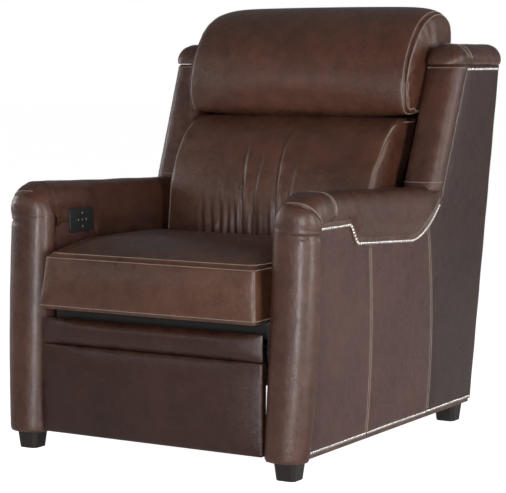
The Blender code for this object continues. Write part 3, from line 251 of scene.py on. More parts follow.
def leather(name, deep, pale, wrinkle=1.0):
    """Hand-rubbed hide: clouded colour, pores, fine creases between its grains, paler worn edges, and painted shade
    darkening its hollows.
    """
    look, tree, place = new_look(
        name, Sheen_Weight=0.01, Sheen_Roughness=0.40, Sheen_Tint=(0.72, 0.58, 0.56, 1.0), Coat_Weight=0.05,
        Coat_Roughness=0.24, Specular_IOR_Level=0.50)
    warp = add(tree, "TexNoise", {"Vector": place, "Scale": 55.0, "Detail": 2.0}).outputs["Color"]
    shrunk = add(tree, "VectorMath", {0: warp, "Scale": 0.006}, operation="SCALE").outputs["Vector"]
    bent = add(tree, "VectorMath", {0: place, 1: shrunk}, operation="ADD").outputs["Vector"]
    broad = cloud(tree, place, 4.5, 5.0, 0.6)
    patch = cloud(tree, place, 22.0, 6.0, 0.62)
    cells = add(tree, "TexVoronoi", {"Vector": bent, "Scale": 430.0}, feature="DISTANCE_TO_EDGE")
    pores = add(tree, "TexVoronoi", {"Vector": bent, "Scale": 900.0}, feature="F1")
    crease = span(tree, cells.outputs["Distance"], 0.0, 0.16)
    tone = weighted(tree, span(tree, broad, 0.32, 0.70), 0.55, span(tree, patch, 0.30, 0.72), 0.45)
    dark = tuple(c * 0.72 for c in deep)
    colour = blend_colour(tree, tone, deep, pale)
    colour = blend_colour(tree, span(tree, crease, 0.0, 1.0, 0.45, 0.0), colour, dark)
    tip = add(tree, "NewGeometry").outputs["Pointiness"]
    rub = maths(tree, "MULTIPLY", span(tree, tip, 0.505, 0.56), span(tree, patch, 0.35, 0.65, 0.2, 1.0))
    colour = blend_colour(tree, maths(tree, "MULTIPLY", rub, 0.55), colour, WORN)
    # Painted shade: hollows, where pointiness is low, are darkened towards dark
    colour = blend_colour(tree, span(tree, tip, 0.44, 0.495, 0.55, 0.0), colour, dark)
    gloss = maths(tree, "ADD", span(tree, patch, 0.3, 0.7, 0.22, 0.32), span(tree, crease, 0.0, 1.0, 0.07, 0.0))
    soft = bump(tree, cloud(tree, place, 34.0, 3.0, 0.5), 0.0022 * wrinkle, 0.55)
    fine = bump(tree, cloud(tree, place, 160.0, 3.0, 0.6), 0.0009 * wrinkle, 0.6, soft)
    grains = bump(tree, crease, 0.00022, 0.6, fine)
    plug(tree, Base_Color=colour, Roughness=gloss,
         Normal=bump(tree, pores.outputs["Distance"], 0.00006, 0.4, grains))
    return look


def metal(name, tone, dark, rough, scratch_scale=90.0, metallic=1.0, stretch=(1.0, 1.0, 1.0)):
    look, tree, place = new_look(name, Metallic=metallic)
    marks = cloud(tree, place, scratch_scale, 5.0, 0.65, stretch)
    plug(tree, Base_Color=blend_colour(tree, span(tree, marks, 0.3, 0.75), dark, tone),
         Roughness=span(tree, marks, 0.3, 0.7, rough[1], rough[0]), Normal=bump(tree, marks, 0.0002, 0.4))
    return look


def moulded(name, tone, rough, grain=700.0):
    """Moulded plastic or rubber with a fine spark-eroded grain."""
    look, tree, place = new_look(name, Specular_IOR_Level=0.45)
    specks = cloud(tree, place, grain, 2.0, 0.5)
    lighter = tuple(min(1.0, c * 1.35 + 0.002) for c in tone)
    plug(tree, Base_Color=blend_colour(tree, span(tree, cloud(tree, place, 40.0, 3.0), 0.3, 0.7), tone, lighter),
         Roughness=span(tree, specks, 0.3, 0.7, rough - 0.05, rough + 0.08), Normal=bump(tree, specks, 0.00008, 0.6))
    return look


def timber(name, dark, light, rough, scale=14.0, stretch=(1.0, 1.0, 0.12), coat=0.0):
    look, tree, place = new_look(name, Coat_Weight=coat, Coat_Roughness=0.25)
    rings = cloud(tree, place, scale * 4, 6.0, 0.6, stretch)
    fibre = cloud(tree, place, scale * 40, 3.0, 0.6, stretch)
    grain = weighted(tree, span(tree, rings, 0.3, 0.7), 0.7, fibre, 0.3)
    plug(tree, Base_Color=blend_colour(tree, grain, dark, light),
         Roughness=span(tree, fibre, 0.3, 0.7, rough, rough + 0.12), Normal=bump(tree, fibre, 0.0002, 0.5))
    return look


def woven(name, dark, light):
    look, tree, place = new_look(name, Sheen_Weight=0.25, Roughness=0.85)
    warp, weft = (add(tree, "TexWave", {"Vector": place, "Scale": 260.0, "Distortion": 0.6},
                      bands_direction=way).outputs["Fac"] for way in "XY")
    cross = maths(tree, "MULTIPLY", warp, weft)
    plug(tree, Base_Color=blend_colour(tree, cross, dark, light), Normal=bump(tree, cross, 0.0003, 0.6))
    return look


shell_leather = leather("leather_side", (0.0448, 0.0166, 0.0120), (0.1161, 0.0464, 0.0350))
# A darker copy of the side leather for the rear side panels: painted shade, where less light falls towards the rear
rear_leather_shaded = leather("leather_rear_painted_shade", (0.0214, 0.0075, 0.0054), (0.0536, 0.0197, 0.0145))
roll_leather = leather("leather_roll", (0.0435, 0.0154, 0.0101), (0.1186, 0.0447, 0.0296))
seat_leather = leather("leather_seat", (0.0500, 0.0176, 0.0098), (0.1425, 0.0574, 0.0314), wrinkle=1.3)
back_leather = leather("leather_back", (0.0531, 0.0193, 0.0117), (0.1528, 0.0597, 0.0355), wrinkle=1.5)
# A darker copy of the same leather for the ottoman and the band: painted shade on front faces that get little light
panel_leather_shaded = leather("leather_panel_painted_shade", (0.0217, 0.0062, 0.0037), (0.0563, 0.0179, 0.0108), wrinkle=0.8)
thread_look = woven("thread_pale", (0.36, 0.29, 0.24), (0.62, 0.54, 0.47))
nail_look = metal("nail_nickel", (0.86, 0.83, 0.79), (0.55, 0.51, 0.46), (0.20, 0.34), 240.0)
mark_look = moulded("mark_pale", (0.42, 0.43, 0.45), 0.45)
SLOT_LOOKS = {
    "leather_shell": shell_leather, "leather_pad": seat_leather,
    "foot_wood": timber("foot_lacquer", (0.007, 0.0045, 0.004), (0.018, 0.011, 0.0095), 0.40, coat=0.06),
    "mechanism_steel": metal("steel_black", (0.10, 0.10, 0.105), (0.045, 0.045, 0.048), (0.38, 0.55), 120.0, 0.8),
    "frame_wood": timber("frame_ply", (0.25, 0.165, 0.10), (0.46, 0.34, 0.22), 0.6, 9.0, (0.15, 1.0, 1.0)),
    "rod_steel": metal("steel_bright", (0.62, 0.62, 0.63), (0.42, 0.42, 0.43), (0.22, 0.34), 60.0, 1.0, (1, .1, .1)),
    "casing": moulded("casing_black", (0.014, 0.014, 0.015), 0.46),
    "key_plastic": moulded("key_satin", (0.020, 0.020, 0.022), 0.32),
    "gland_rubber": moulded("gland_black", (0.010, 0.010, 0.010), 0.62, 300.0),
    "deck_cloth": woven("deck_weave", (0.012, 0.012, 0.013), (0.045, 0.045, 0.048)),
}
lining = woven("lining_dark", (0.006, 0.005, 0.005), (0.018, 0.013, 0.012))
for cad_node in frame["nodes"].values():
    for i, used in enumerate(cad_node.data.materials):
        known = used.name.split(".")[0] if used else ""
        if known not in SLOT_LOOKS:
            raise SystemExit(f"{cad_node.name} has an unknown finish {known}")
        covered = cad_node.name.split(".")[0] in ("seat_front_rail", "seat_rear_rail", "back_board")
        cad_node.data.materials[i] = lining if covered else SLOT_LOOKS[known]


# Meshes

def object_of(name, points, faces, turned=True, merge=0.0):
    """A linked object with that mesh: its faces turned outwards, points nearer than merge made one."""
    mesh = bpy.data.meshes.new(name)
    mesh.from_pydata([tuple(p) for p in points], [], faces)
    if merge:
        mesh.validate()
    if turned:
        tidy = bmesh.new()
        tidy.from_mesh(mesh)
        if merge:
            bmesh.ops.remove_doubles(tidy, verts=tidy.verts, dist=merge)
        bmesh.ops.recalc_face_normals(tidy, faces=tidy.faces)
        tidy.to_mesh(mesh)
        tidy.free()
    made = bpy.data.objects.new(name, mesh)
    scene.collection.objects.link(made)
    return made


def dressed(made, look, body):
    made.data.materials.append(look)
    made.data.shade_smooth()
    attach(made, body)
    return made


def piece(name, solid, look, replaced=(), sharp=None, body="root"):
    """A rigid or padded piece, shown in place of the nodes that it covers."""
    made = dressed(object_of(name, *solid, merge=1e-6), look, body)
    if sharp:
        made.data.set_sharp_from_angle(angle=radians(sharp))
    if replaced:
        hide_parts(*replaced)


def loft(rings):
    """Points and faces of closed rings skinned in a row, with both ends capped."""
    count, last = len(rings[0]), len(rings) - 1
    points = [p for ring in rings for p in ring]
    faces = []
    for base in range(0, last * count, count):
        for c in range(count):
            a, b = base + c, base + (c + 1) % count
            faces.append((a, b, b + count, a + count))
    return points, faces + [tuple(reversed(range(count))), tuple(range(last * count, len(points)))]


def two_skins(outer, inner):
    """A closed solid from two grids of the same size, with its rim bridged."""
    count, columns = len(outer), len(outer[0])
    points = [p for grid in (outer, inner) for row in grid for p in row]
    shift = count * columns
    faces = []
    for r in range(count - 1):
        for a in range(r * columns, (r + 1) * columns - 1):
            quad = (a, a + 1, a + columns + 1, a + columns)
            faces += [quad, tuple(shift + i for i in reversed(quad))]
    rim = (list(range(columns)) + [r * columns + columns - 1 for r in range(1, count)]
           + [(count - 1) * columns + c for c in range(columns - 2, -1, -1)]
           + [r * columns for r in range(count - 2, 0, -1)])
    return points, faces + [(a, shift + a, shift + b, b) for a, b in zip(rim, rim[1:] + rim[:1])]


def spaced(length, pitch):
    """Shares from 0 to 1, close together near both ends."""
    near = [d for d in (0.0, 0.0012, 0.0028, 0.005, 0.008, 0.012) if d < length / 3]
    count = max(2, int(round((length - 2 * near[-1]) / pitch)))
    middle = [lerp(near[-1], length - near[-1], i / count) for i in range(1, count)]
    return [d / length for d in near + middle + [length - d for d in reversed(near)]]


def stepped(place, end, pitch, fine=0.0, seam=0.0, near=0.0):
    """Places up to an end, a pitch apart, or a fine step near a seam."""
    while place < end:
        yield place
        place += fine if abs(place - seam) < near else pitch


def from_edge(share, length):
    return min(share, 1 - share) * length


def edge_rise(distance, dip=0.0035, reach=0.022):
    """How far a padded skin stands out at a distance from its seam."""
    return 0.0030 * (1 - exp(-distance / reach)) - dip * bell(distance, 0.0032)


def panel_swell(du, dv, dip=0.0035):
    return min(edge_rise(du, dip), edge_rise(dv, 0.002, 0.012))


def pucker(away, place, depth=0.0009, reach=0.014):
    return depth * exp(-away / reach) * cos(2 * pi * place / pucker_pitch)


def panel_of(name, along, upwards, at, look, replaced):
    """A padded panel; at(u, v) gives the outer and the inner point for two shares."""
    grid = [[at(u, v) for u in along] for v in upwards]
    outer, inner = ([[pair[i] for pair in row] for row in grid] for i in (0, 1))
    piece(name, two_skins(outer, inner), look, (replaced,))


def inner_skin(y, z):
    """How far in the inner face of an arm lies: one smooth cover over the panel and the pad."""
    return cover_in + 0.0010 * wave((0.3, y, z * 0.7), 0.17, 21.0)


def side_panel(name, side, y_first, y_last, replaced, seed):
    """A padded panel on both faces of the side, between two upright seams."""
    def top(y):
        return pad_edge(y) + 0.004

    height = top((y_first(0.4) + y_last(0.4)) / 2) - panel_foot
    width = y_last(0.3) - y_first(0.3)

    def at(u, v):
        z = lerp(panel_foot, panel_foot + height, v)
        for _ in range(3):
            y = lerp(y_first(z), y_last(z), u)
            z = lerp(panel_foot, top(y), v)
        du, dv = from_edge(u, width), from_edge(v, height)
        drift = 0.0012 * wave((side * 0.4, y, z * 0.7), 0.16, seed) + 0.0005 * wave((side, y, z), 0.05, seed + 4)
        seam_pull = 0.0006 * exp(-du / 0.015) * cos(2 * pi * z / 0.034 + seed)
        out = -panel_swell(du, dv) - drift * smooth(du / 0.03) - pucker(z - panel_foot, y) - seam_pull
        return on_side(side, out, y, z), on_side(side, inner_skin(y, z), y, z)

    panel_of(name, spaced(width, 0.012), spaced(height, 0.012), at, shell_leather, replaced)


def wing_front(z):
    """Front edge of the rear side panel: the lower seam, then the pad's edge, then the wing's seam."""
    if z <= pad_edge(seam_two(0.5)):
        return seam_two(z)
    return max(seam_two(z), pad_edge_y(z)) if z <= wing_foot_z else wing_seam(z)


def rear_side_panel(name, side, replaced):
    height = wing_top - panel_foot

    def at(u, v):
        z = lerp(panel_foot, wing_top, v)
        first, last = wing_front(z), shell_rear(z) - 0.0015
        y = lerp(first, last, u)
        du, dv = from_edge(u, last - first), from_edge(v, height)
        drift = 0.0016 * wave((side * 0.4, y, z * 0.6), 0.17, 2.0) + 0.0005 * wave((side, y, z), 0.05, 6.0)
        out = -panel_swell(du, dv) - drift * smooth(du / 0.03) - pucker(z - panel_foot, y)
        return on_side(side, out, y, z), on_side(side, inner_skin(y, z) - 0.0016, y, z)

    panel_of(name, spaced(0.25, 0.011), spaced(height, 0.011), at, rear_leather_shaded, replaced)


def cap_arch(count=36, power=2.5, tuck=0.08, tuck_rise=0.4):
    """(across from -1 outer to 1 inner, rise from 0 to 1) round a cap, its two feet tucked in."""
    for i in range(count + 1):
        angle = pi * i / count
        across = -copysign(abs(cos(angle)) ** (2 / power), cos(angle))
        rise = sin(angle) ** (2 / power) if 0 < i < count else 0.0
        if rise < tuck_rise:
            across *= 1 - tuck * (1 - rise / tuck_rise) ** 2
        yield across, rise


cap_section = list(cap_arch())
COVER_POINTS = 44
sections = {}


def even_section(power, wide=0.051, high=0.070):
    """(across from -1 outer to 1 inner, rise from 0 to 1) at even steps round a squarish arch."""
    key = round(power, 2)
    if key not in sections:
        angles = np.linspace(0, pi, 3001)
        across = -np.sign(np.cos(angles)) * np.abs(np.cos(angles)) ** (2 / key)
        rise = np.sin(angles).clip(0) ** (2 / key)
        walked = np.concatenate([[0], np.cumsum(np.hypot(np.diff(across) * wide, np.diff(rise) * high))])
        even = np.linspace(0, walked[-1], COVER_POINTS)
        sections[key] = list(zip(np.interp(even, walked, across), np.interp(even, walked, rise)))
    return sections[key]


def cover_ring(power, outer_swell, inner_swell, reach, place, dip=0.0, tuck=0.0, seed=0.0, leg=0.003, crown=0.0):
    """One section of a roll: it swells out of its two seams; dips fade out towards the inner side.

    place(inward, forward) turns a distance in from the side face and one along the section into a point.
    """
    ring = []
    for across, rise in even_section(power):
        swell = sin(pi / 2 * min(1.0, rise / 0.38))
        outer, inner = -outer_swell * swell, cover_in + inner_swell * swell
        inward, forward = lerp(outer, inner, (across + 1) / 2), reach * rise * (1 - crown * across ** 2)
        middle, low = (outer + inner) / 2, reach * 0.42
        away = Vector((inward - middle, forward - low))
        push = -dip * smooth((0.42 - across) / 0.75) * smooth(rise * 6) - tuck * min(1.0, rise * 4 + 0.25)
        push += 0.0005 * wave((across * 0.05, rise * 0.07, seed), 0.05, 3.0) * smooth(rise * 4)
        away += away.normalized() * push
        ring.append(place(middle + away.x, low + away.y))
    ring.append(place(cover_in + 0.0002, -leg))
    return ring


def column_ring(side, z):
    """A level section of the upright roll on the front of the arm."""
    outer = through(z, ((0.100, 0.0195), (0.260, 0.0240), (0.560, 0.0165)))
    inner = through(z, ((0.090, 0.0040), (0.320, 0.0082), (0.560, 0.0110)))
    foot = min(1.0, max(0.0, (z - column_foot) / 0.010))
    tuck = 0.0075 * (1 - sqrt(1 - (1 - foot) ** 2))
    dip = 0.0042 * bell(z - knuckle_z, 0.0026)
    return cover_ring(3.6, outer, inner, roll_depth(z) + roll_front_swell + 0.0015,
                      lambda inward, forward: on_side(side, inward, roll_seam(z) - forward, z),
                      dip, tuck, seed=z + side, crown=0.20)


elbow_y, pad_end = arm_front(shelf_z) + roll_depth(shelf_z), wing_seam(wing_foot_z)


def elbow_ring(side, degrees):
    """The section at an angle about the line at elbow_y and shelf_z, from 0, level forwards, to 90, straight up."""
    angle, share = radians(degrees), degrees / 90
    reach = 1 / sqrt((cos(angle) / (roll_depth(shelf_z) + roll_front_swell)) ** 2
                          + (sin(angle) / (arm_top_front - shelf_z)) ** 2)
    reach += 0.0050 * sin(2 * angle) ** 2
    dip = 0.0046 * bell(degrees - knuckle_angle, 2.4)
    dip -= 0.0018 * sin(pi * min(1.0, (degrees + 8) / (knuckle_angle + 8)))
    power = lerp(3.6, arch_power + 0.2, smooth(share))

    return cover_ring(
        power, lerp(0.0165, 0.0160, share), lerp(0.0110, 0.0035, smooth(share)), reach,
        lambda inward, forward: on_side(side, inward, elbow_y - forward * cos(angle), shelf_z + forward * sin(angle)),
        dip, seed=0.6 + share * 0.1 + side, leg=lerp(0.003, 0.03, share), crown=lerp(0.20, 0.0, share))


def pad_ring(side, y):
    raked = smooth((y - (pad_end - 0.10)) / 0.10)
    base = lerp(shelf_z, pad_edge(y) + pad_lift, smooth((y - elbow_y) / 0.030))
    top = arm_top(y) + 0.0016 * wave((side * 0.2, y, 0.0), 0.11, 7.0)
    dip = 0.0040 * bell(y - ring_seam_y, 0.0030)
    outer = lerp(0.0165, 0.0030, smooth((y - (pad_end - 0.090)) / 0.090))

    def place(inward, forward):
        return on_side(side, inward, y + raked * max(0.0, forward) * wing_slope, base + forward)

    return cover_ring(arch_power + 0.3, outer, 0.0030, top - base, place, dip, seed=y + side, leg=0.03)


def arm_cover(name, side, *replaced):
    """The arm's one cover: up the front roll, over the elbow and back to the wing."""
    heights = [column_foot + d for d in (0, 0.0012, 0.003, 0.006, 0.010)]
    heights += stepped(heights[-1] + 0.010, shelf_z - 0.001, 0.009, 0.0011, knuckle_z, 0.0075)
    angles = stepped(0.0, 90, 4.0, 0.9, knuckle_angle, 6.5)
    places = [*stepped(elbow_y + 0.0005, pad_end - 0.003, 0.008, 0.0011, ring_seam_y, 0.008), pad_end]
    rings = ([column_ring(side, z) for z in heights] + [elbow_ring(side, degrees) for degrees in angles]
             + [pad_ring(side, y) for y in places])
    piece(name, loft(rings), roll_leather, replaced)


def edge_band(name, side):
    """The flat strip under the arm pad that its nails are driven through."""
    route = [(y, pad_edge(y)) for y in np.arange(elbow_y - 0.001, pad_end - 0.004, 0.004)]
    section = ((-0.0058, 0.0015), (-0.0050, 0.0046), (0.002, 0.0056), (0.010, 0.0052), (0.016, 0.002),
               (0.016, -0.002), (-0.0058, -0.002))
    rings = []
    for i, (y, z) in enumerate(route):
        before, after = route[max(0, i - 1)], route[min(len(route) - 1, i + 1)]
        way = Vector((after[0] - before[0], after[1] - before[1])).normalized()
        rings.append([on_side(side, -proud, y - way.y * off, z + way.x * off) for off, proud in section])
    piece(name, loft(rings), shell_leather, sharp=50)


def wing_roll(name, side, replaced):
    """The roll up the wing's front edge, standing on the arm."""
    low, top = arm_top_rear - 0.012, wing_top - 0.001
    rings = []
    for share in spaced(top - low, 0.010):
        z = lerp(low, top, share)
        rings.append(cover_ring(3.6, 0.0075, 0.001, wing_roll_depth + 0.004,
                                lambda inward, forward: on_side(side, inward, wing_seam(z) - forward, z),
                                tuck=0.0040 * bell(min(z - low, top - z), 0.004), seed=z + side + 0.4))
    piece(name, loft(rings), roll_leather, (replaced,), sharp=60)


def rounded_end(start, length):
    """Places along the end of a padded bar, with a section scale that rounds it."""
    shares = [1 - cos(pi / 2 * i / 8) for i in range(9)]
    return [(start + length * share, max(0.05, sqrt(1 - (1 - share) ** 2))) for share in shares]


cap_front = wing_seam(wing_top) - wing_roll_depth - cap_front_proud
cap_rear = shell_rear(wing_top + cap_height / 2) + cap_rear_overhang
cap_foot, cap_top = wing_top + gap, wing_top + cap_height
cap_lean = 0.030                  # how much further back the cap's knuckle seams are at their feet
cap_seams = (0.036, 0.060)        # behind the cap's front, at its crest


def wing_cap(name, side, replaced, nose=0.050, tail=0.034, pitch=0.008):
    low, high = -cap_overhang, side_thickness + cap_overhang / 2
    middle, half = (low + high) / 2, (high - low) / 2
    between = stepped(cap_front + nose + pitch, cap_rear - tail - pitch / 2, pitch,
                      pitch / 4, cap_front + 0.0775, 0.0175)
    stations = rounded_end(cap_front, nose) + [(y, 1.0) for y in between] + rounded_end(cap_rear, -tail)[::-1]
    rings = []
    for y, scale in stations:
        wide = half * scale ** 0.5
        sag = 0.0012 * wave((side, y, 0.0), 0.05, 15.0)
        ring = []
        for across, rise in cap_section:
            z = lerp(cap_foot, cap_foot + (cap_top - cap_foot) * scale + sag, rise)
            behind = y - cap_lean * (1 - rise) - cap_front
            gather = -0.0030 * smooth((0.5 - across) / 0.8) * sum(bell(behind - seam, 0.0024) for seam in cap_seams)
            ring.append(on_side(side, middle + (wide + gather) * across, y, z + gather * rise))
        rings.append(ring)
    piece(name, loft(rings), roll_leather, (replaced,))


def outside_back(name, replaced):
    height = wing_top - panel_foot

    def at(u, v):
        z = lerp(panel_foot, wing_top, v)
        x = lerp(-side_x(z), side_x(z), u)
        du, dv = from_edge(u, 2 * side_x(z)), from_edge(v, height)
        drift = 0.0016 * wave((x, 0.5, z), 0.20, 17.0) * smooth(min(du, dv) / 0.04)
        out = panel_swell(du, dv, 0.0025) + drift + pucker(du, z, 0.0008, 0.012)
        return (x, shell_rear(z) + out, z), (x, shell_rear(z) - back_skin, z)

    panel_of(name, spaced(2 * side_x(0.5), 0.014), spaced(height, 0.014), at, shell_leather, replaced)


def back_top_roll(name, replaced):
    half = (back_cap_depth + cap_rear_overhang) / 2
    middle = cap_rear - half
    reach = side_x(wing_top) - side_thickness - cap_overhang / 2 - 2 * gap
    rings = []
    for share in spaced(2 * reach, 0.014):
        x = lerp(-reach, reach, share)
        sag = 0.0014 * wave((x, 0.9, 0.0), 0.07, 19.0) - 0.0030 * bell(from_edge(share, 2 * reach), 0.004)
        rings.append([(x, middle - (half + sag) * a, lerp(cap_foot, cap_top + sag, rise)) for a, rise in cap_section])
    piece(name, loft(rings), roll_leather, (replaced,))


for word, side in SIDES:
    arm_cover(f"arm_cover_{word}", side, f"arm_front_roll_{word}", f"arm_scroll_{word}", f"arm_pad_{word}")
    edge_band(f"edge_band_{word}", side)
    side_panel(f"side_front_{word}", side, roll_seam, seam_one, f"arm_panel_{word}", 1.0)
    side_panel(f"side_middle_{word}", side, seam_one, seam_two, f"arm_panel_{word}", 2.0)
    rear_side_panel(f"side_rear_{word}", side, f"wing_panel_{word}")
    wing_roll(f"wing_front_{word}", side, f"wing_roll_{word}")
    wing_cap(f"wing_top_{word}", side, f"wing_cap_{word}")
outside_back("back_outside", "outside_back")
back_top_roll("back_top_roll", "back_top_cap")


# Cushions

def final_mesh(thing):
    """The object's mesh with its modifiers applied, and none left on it."""
    shown = thing.evaluated_get(bpy.context.evaluated_depsgraph_get())
    mesh = bpy.data.meshes.new_from_object(shown)
    thing.modifiers.clear()
    thing.data = mesh
    return mesh


def vectors(items, key):
    flat = np.empty(len(items) * 3, np.float32)
    items.foreach_get(key, flat)
    return flat.reshape(-1, 3).astype(float)


def set_positions(mesh, points):
    mesh.vertices.foreach_set("co", np.asarray(points, np.float32).ravel())
    mesh.update()


def through_spline(knots, count):
    """Points at even steps round a closed smooth curve through (y, z) knots."""
    line, n = [], len(knots)
    for i in range(n):
        a, b, c, d = (np.array(knots[(i + k) % n]) for k in (-1, 0, 1, 2))
        for t in np.arange(0, 1, 0.05):
            line.append(0.5 * (2 * b + (c - a) * t + (2 * a - 5 * b + 4 * c - d) * t * t
                               + (3 * b - a - 3 * c + d) * t ** 3))
    line = np.array(line + [line[0]])
    walked = np.concatenate([[0], np.cumsum(np.linalg.norm(np.diff(line, axis=0), axis=1))])
    even = np.linspace(0, walked[-1], count, endpoint=False)
    return [(np.interp(w, walked, line[:, 0]), np.interp(w, walked, line[:, 1])) for w in even]


def boxed(name, counts, place, ease=3):
    """A closed box of even quads; place(u, v, w) turns shares along x, y and z into a point."""
    index, faces = {}, []
    for axis in range(3):
        first, second = [a for a in range(3) if a != axis]
        for level in (0, counts[axis]):
            for i, j in product(range(counts[first]), range(counts[second])):
                quad = []
                for di, dj in ((0, 0), (1, 0), (1, 1), (0, 1)):
                    spot = [0, 0, 0]
                    spot[axis], spot[first], spot[second] = level, i + di, j + dj
                    quad.append(index.setdefault(tuple(spot), len(index)))
                faces.append(quad)
    made = object_of(name, [place(*(i / n for i, n in zip(spot, counts))) for spot in index], faces)
    step = made.modifiers.new("ease", "SMOOTH")
    step.iterations, step.factor = ease, 0.5
    final_mesh(made)
    return made


CLOTH_FRAMES = 20


def inflate(made, held, pressure, cap, bending):
    """Pressed from inside as a sewn cover is by its filling; held() says what can't move, from 0 to 1."""
    before = vectors(made.data.vertices, "co")
    group = made.vertex_groups.new(name="held")
    for i, point in enumerate(before):
        weight = held(*point)
        if weight > 0.01:
            group.add([i], min(1.0, weight), "REPLACE")
    cloth = made.modifiers.new("cover", "CLOTH")
    for key, value in {"quality": 5, "mass": 0.25, "tension_stiffness": 14, "compression_stiffness": 14,
                       "shear_stiffness": 6, "bending_stiffness": bending, "vertex_group_mass": "held",
                       "use_pressure": True, "uniform_pressure_force": pressure}.items():
        setattr(cloth.settings, key, value)
    cloth.settings.effector_weights.gravity = 0
    cloth.collision_settings.use_collision = cloth.collision_settings.use_self_collision = False
    cloth.point_cache.frame_start, cloth.point_cache.frame_end = 1, CLOTH_FRAMES
    for number in range(1, CLOTH_FRAMES + 1):
        scene.frame_set(number)
    final_mesh(made)
    scene.frame_set(1)
    moved = vectors(made.data.vertices, "co") - before
    length = np.linalg.norm(moved, axis=1, keepdims=True)
    limit = cap * np.tanh(length / cap)
    set_positions(made.data, before + moved * (limit / np.maximum(length, 1e-9)))


def press(made, shift):
    """Move every point by shift(point, normal), a distance along its normal."""
    mesh = made.data
    points, normals = vectors(mesh.vertices, "co"), vectors(mesh.vertex_normals, "vector")
    amounts = np.array([shift(p, n) for p, n in zip(points, normals)])
    set_positions(mesh, points + normals * amounts[:, None])


def bury(made, rows, depth, width):
    """Press the surface in along rows of hits, as a seam does."""
    route = [point for hits in rows for point in dense([spot for spot, _ in hits])]
    tree = KDTree(len(route))
    for i, point in enumerate(route):
        tree.insert(point, i)
    tree.balance()

    def shift(point, _):
        away = tree.find(point)[2]
        return -depth * bell(away, width) if away < width * 2.6 else 0.0

    press(made, shift)


class Surface:
    """Finds points on a finished piece; each hit is a place and its normal."""

    def __init__(self, made):
        mesh = made.data
        self.tree = BVHTree.FromPolygons([v.co for v in mesh.vertices], [p.vertices for p in mesh.polygons])

    def hit(self, start, way):
        spot, normal, _, _ = self.tree.ray_cast(Vector(start), Vector(way).normalized())
        return (spot, normal) if spot else None

    def line(self, starts, way):
        hits = (self.hit(s, way(s) if callable(way) else way) for s in starts)
        return [h for h in hits if h]

    def near(self, point):
        return self.tree.find_nearest(Vector(point))[:2]


def dense(points, step=0.002):
    """The route through the points, with one point for each step."""
    points = [Vector(p) for p in points]
    out = [points[0]]
    for a, b in zip(points, points[1:]):
        count = max(1, int((b - a).length / step))
        out += [a.lerp(b, i / count) for i in range(1, count + 1)]
    return out


def around_z(surface, z, centre_y, count, reach=1.2):
    """Hits all round the Z direction, at one height."""
    starts = [(reach * cos(a), centre_y + reach * sin(a), z)
              for a in (2 * pi * i / count for i in range(count + 1))]
    return surface.line(starts, lambda s: (-s[0], centre_y - s[1], 0.0))


def around_x(surface, x, centre, first, last, count, reach=0.8):
    """Hits round the X direction, at one X, between two angles in degrees from level forwards."""
    angles = (radians(lerp(first, last, i / count)) for i in range(count + 1))
    starts = [(x, centre[0] - reach * cos(a), centre[1] + reach * sin(a)) for a in angles]
    return surface.line(starts, lambda s: (0.0, centre[0] - s[1], centre[1] - s[2]))


SEAT_TOP, SEAT_LOW = 0.4800, 0.3560


def seat_place(u, v, w):
    """The seat's box: its front leans back, its lower front corners flare, and its top is crowned."""
    across = 2 * u - 1
    half = lerp(0.3010, 0.2930, w) + 0.006 * (1 - w) ** 4 * (1 - v) ** 8
    bulge = 0.011 * sin(pi * w) * (1 - across ** 2) ** 0.8
    y = lerp(lerp(-0.5385, -0.5205, w) - bulge, -0.036, v)
    rise = 1 - (1 - min(1.0, v / 0.25)) ** 2.4 - 0.45 * smooth((v - 0.78) / 0.22)
    crown = 0.034 * max(0.0, 1 - abs(across) ** 14) * rise
    return across * half, y, lerp(0.3512, 0.4815, w) + crown * w ** 3


def panel_place(half, low, high, face, rear, crown):
    """A padded panel: its front swells between its edges, and its back is flat."""
    def place(u, v, w):
        across, up = 2 * u - 1, 2 * w - 1
        swell = crown * (1 - abs(across) ** 5) ** 0.8 * (1 - abs(up) ** 3.2) ** 0.85
        return across * half, lerp(face - swell, rear, v), lerp(low, high, w)
    return place


BACK_TOP = 0.797
BACK_EDGE = ((0.430, 0.494, 0.580, 0.605, 0.630, 0.660, 0.683, 0.709, 0.744, 0.762, 0.780, 0.797),
             (0.004, 0.017, 0.027, 0.029, 0.033, 0.044, 0.057, 0.077, 0.101, 0.122, 0.150, 0.183))


def board_face(z):
    return 0.157003 + (z - 0.500) * board_rake


def back_edge(z):
    """Where the back's end seams lie on its front, and how far out."""
    return np.interp(z, *BACK_EDGE), 0.3015 + 0.005 * smooth((z - 0.66) / 0.05)


def back_place(u, v, w):
    """The back's box: bulging at the loins, thinner upwards, its ends boxed."""
    across, z = 2 * u - 1, lerp(0.4325, BACK_TOP, w)
    y, half = back_edge(z)
    crown = 0.013 * (1 - abs(across) ** 3) * smooth((z - 0.45) / 0.08) * (1 - 0.6 * smooth((z - 0.76) / 0.03))
    return across * half, lerp(y - crown, board_face(z) - 0.001, v), z


# The headrest's side profile, from its lower rear edge forwards and over its top
HEAD_PROFILE = ((0.3636, 0.8185), (0.2852, 0.8115), (0.2050, 0.8040), (0.1735, 0.8125), (0.1622, 0.8420),
                (0.1606, 0.8840), (0.1705, 0.9300), (0.1880, 0.9753), (0.2180, 1.0205), (0.2575, 1.0552),
                (0.3050, 1.0765), (0.3546, 1.0850), (0.3994, 1.0805), (0.4360, 1.0602), (0.4520, 1.0307),
                (0.4481, 0.9937), (0.4257, 0.9383), (0.4065, 0.8908), (0.3900, 0.8512))
HEAD_ENDS = ((0.3225, 0.952), (0.3266, 0.958), (0.3300, 0.938), (0.3330, 0.88), (0.3354, 0.78), (0.3374, 0.62),
             (0.3390, 0.42), (0.3399, 0.20), (0.3401, 0.05))
HEAD_SEAM = 0.3225
head_y, head_z = 0.3054, 0.9462   # what the profile shrinks to at its ends


def head_full(x):
    share = abs(x) / HEAD_SEAM
    return 1.0 - 0.012 * share ** 2 - 0.022 * share ** 10


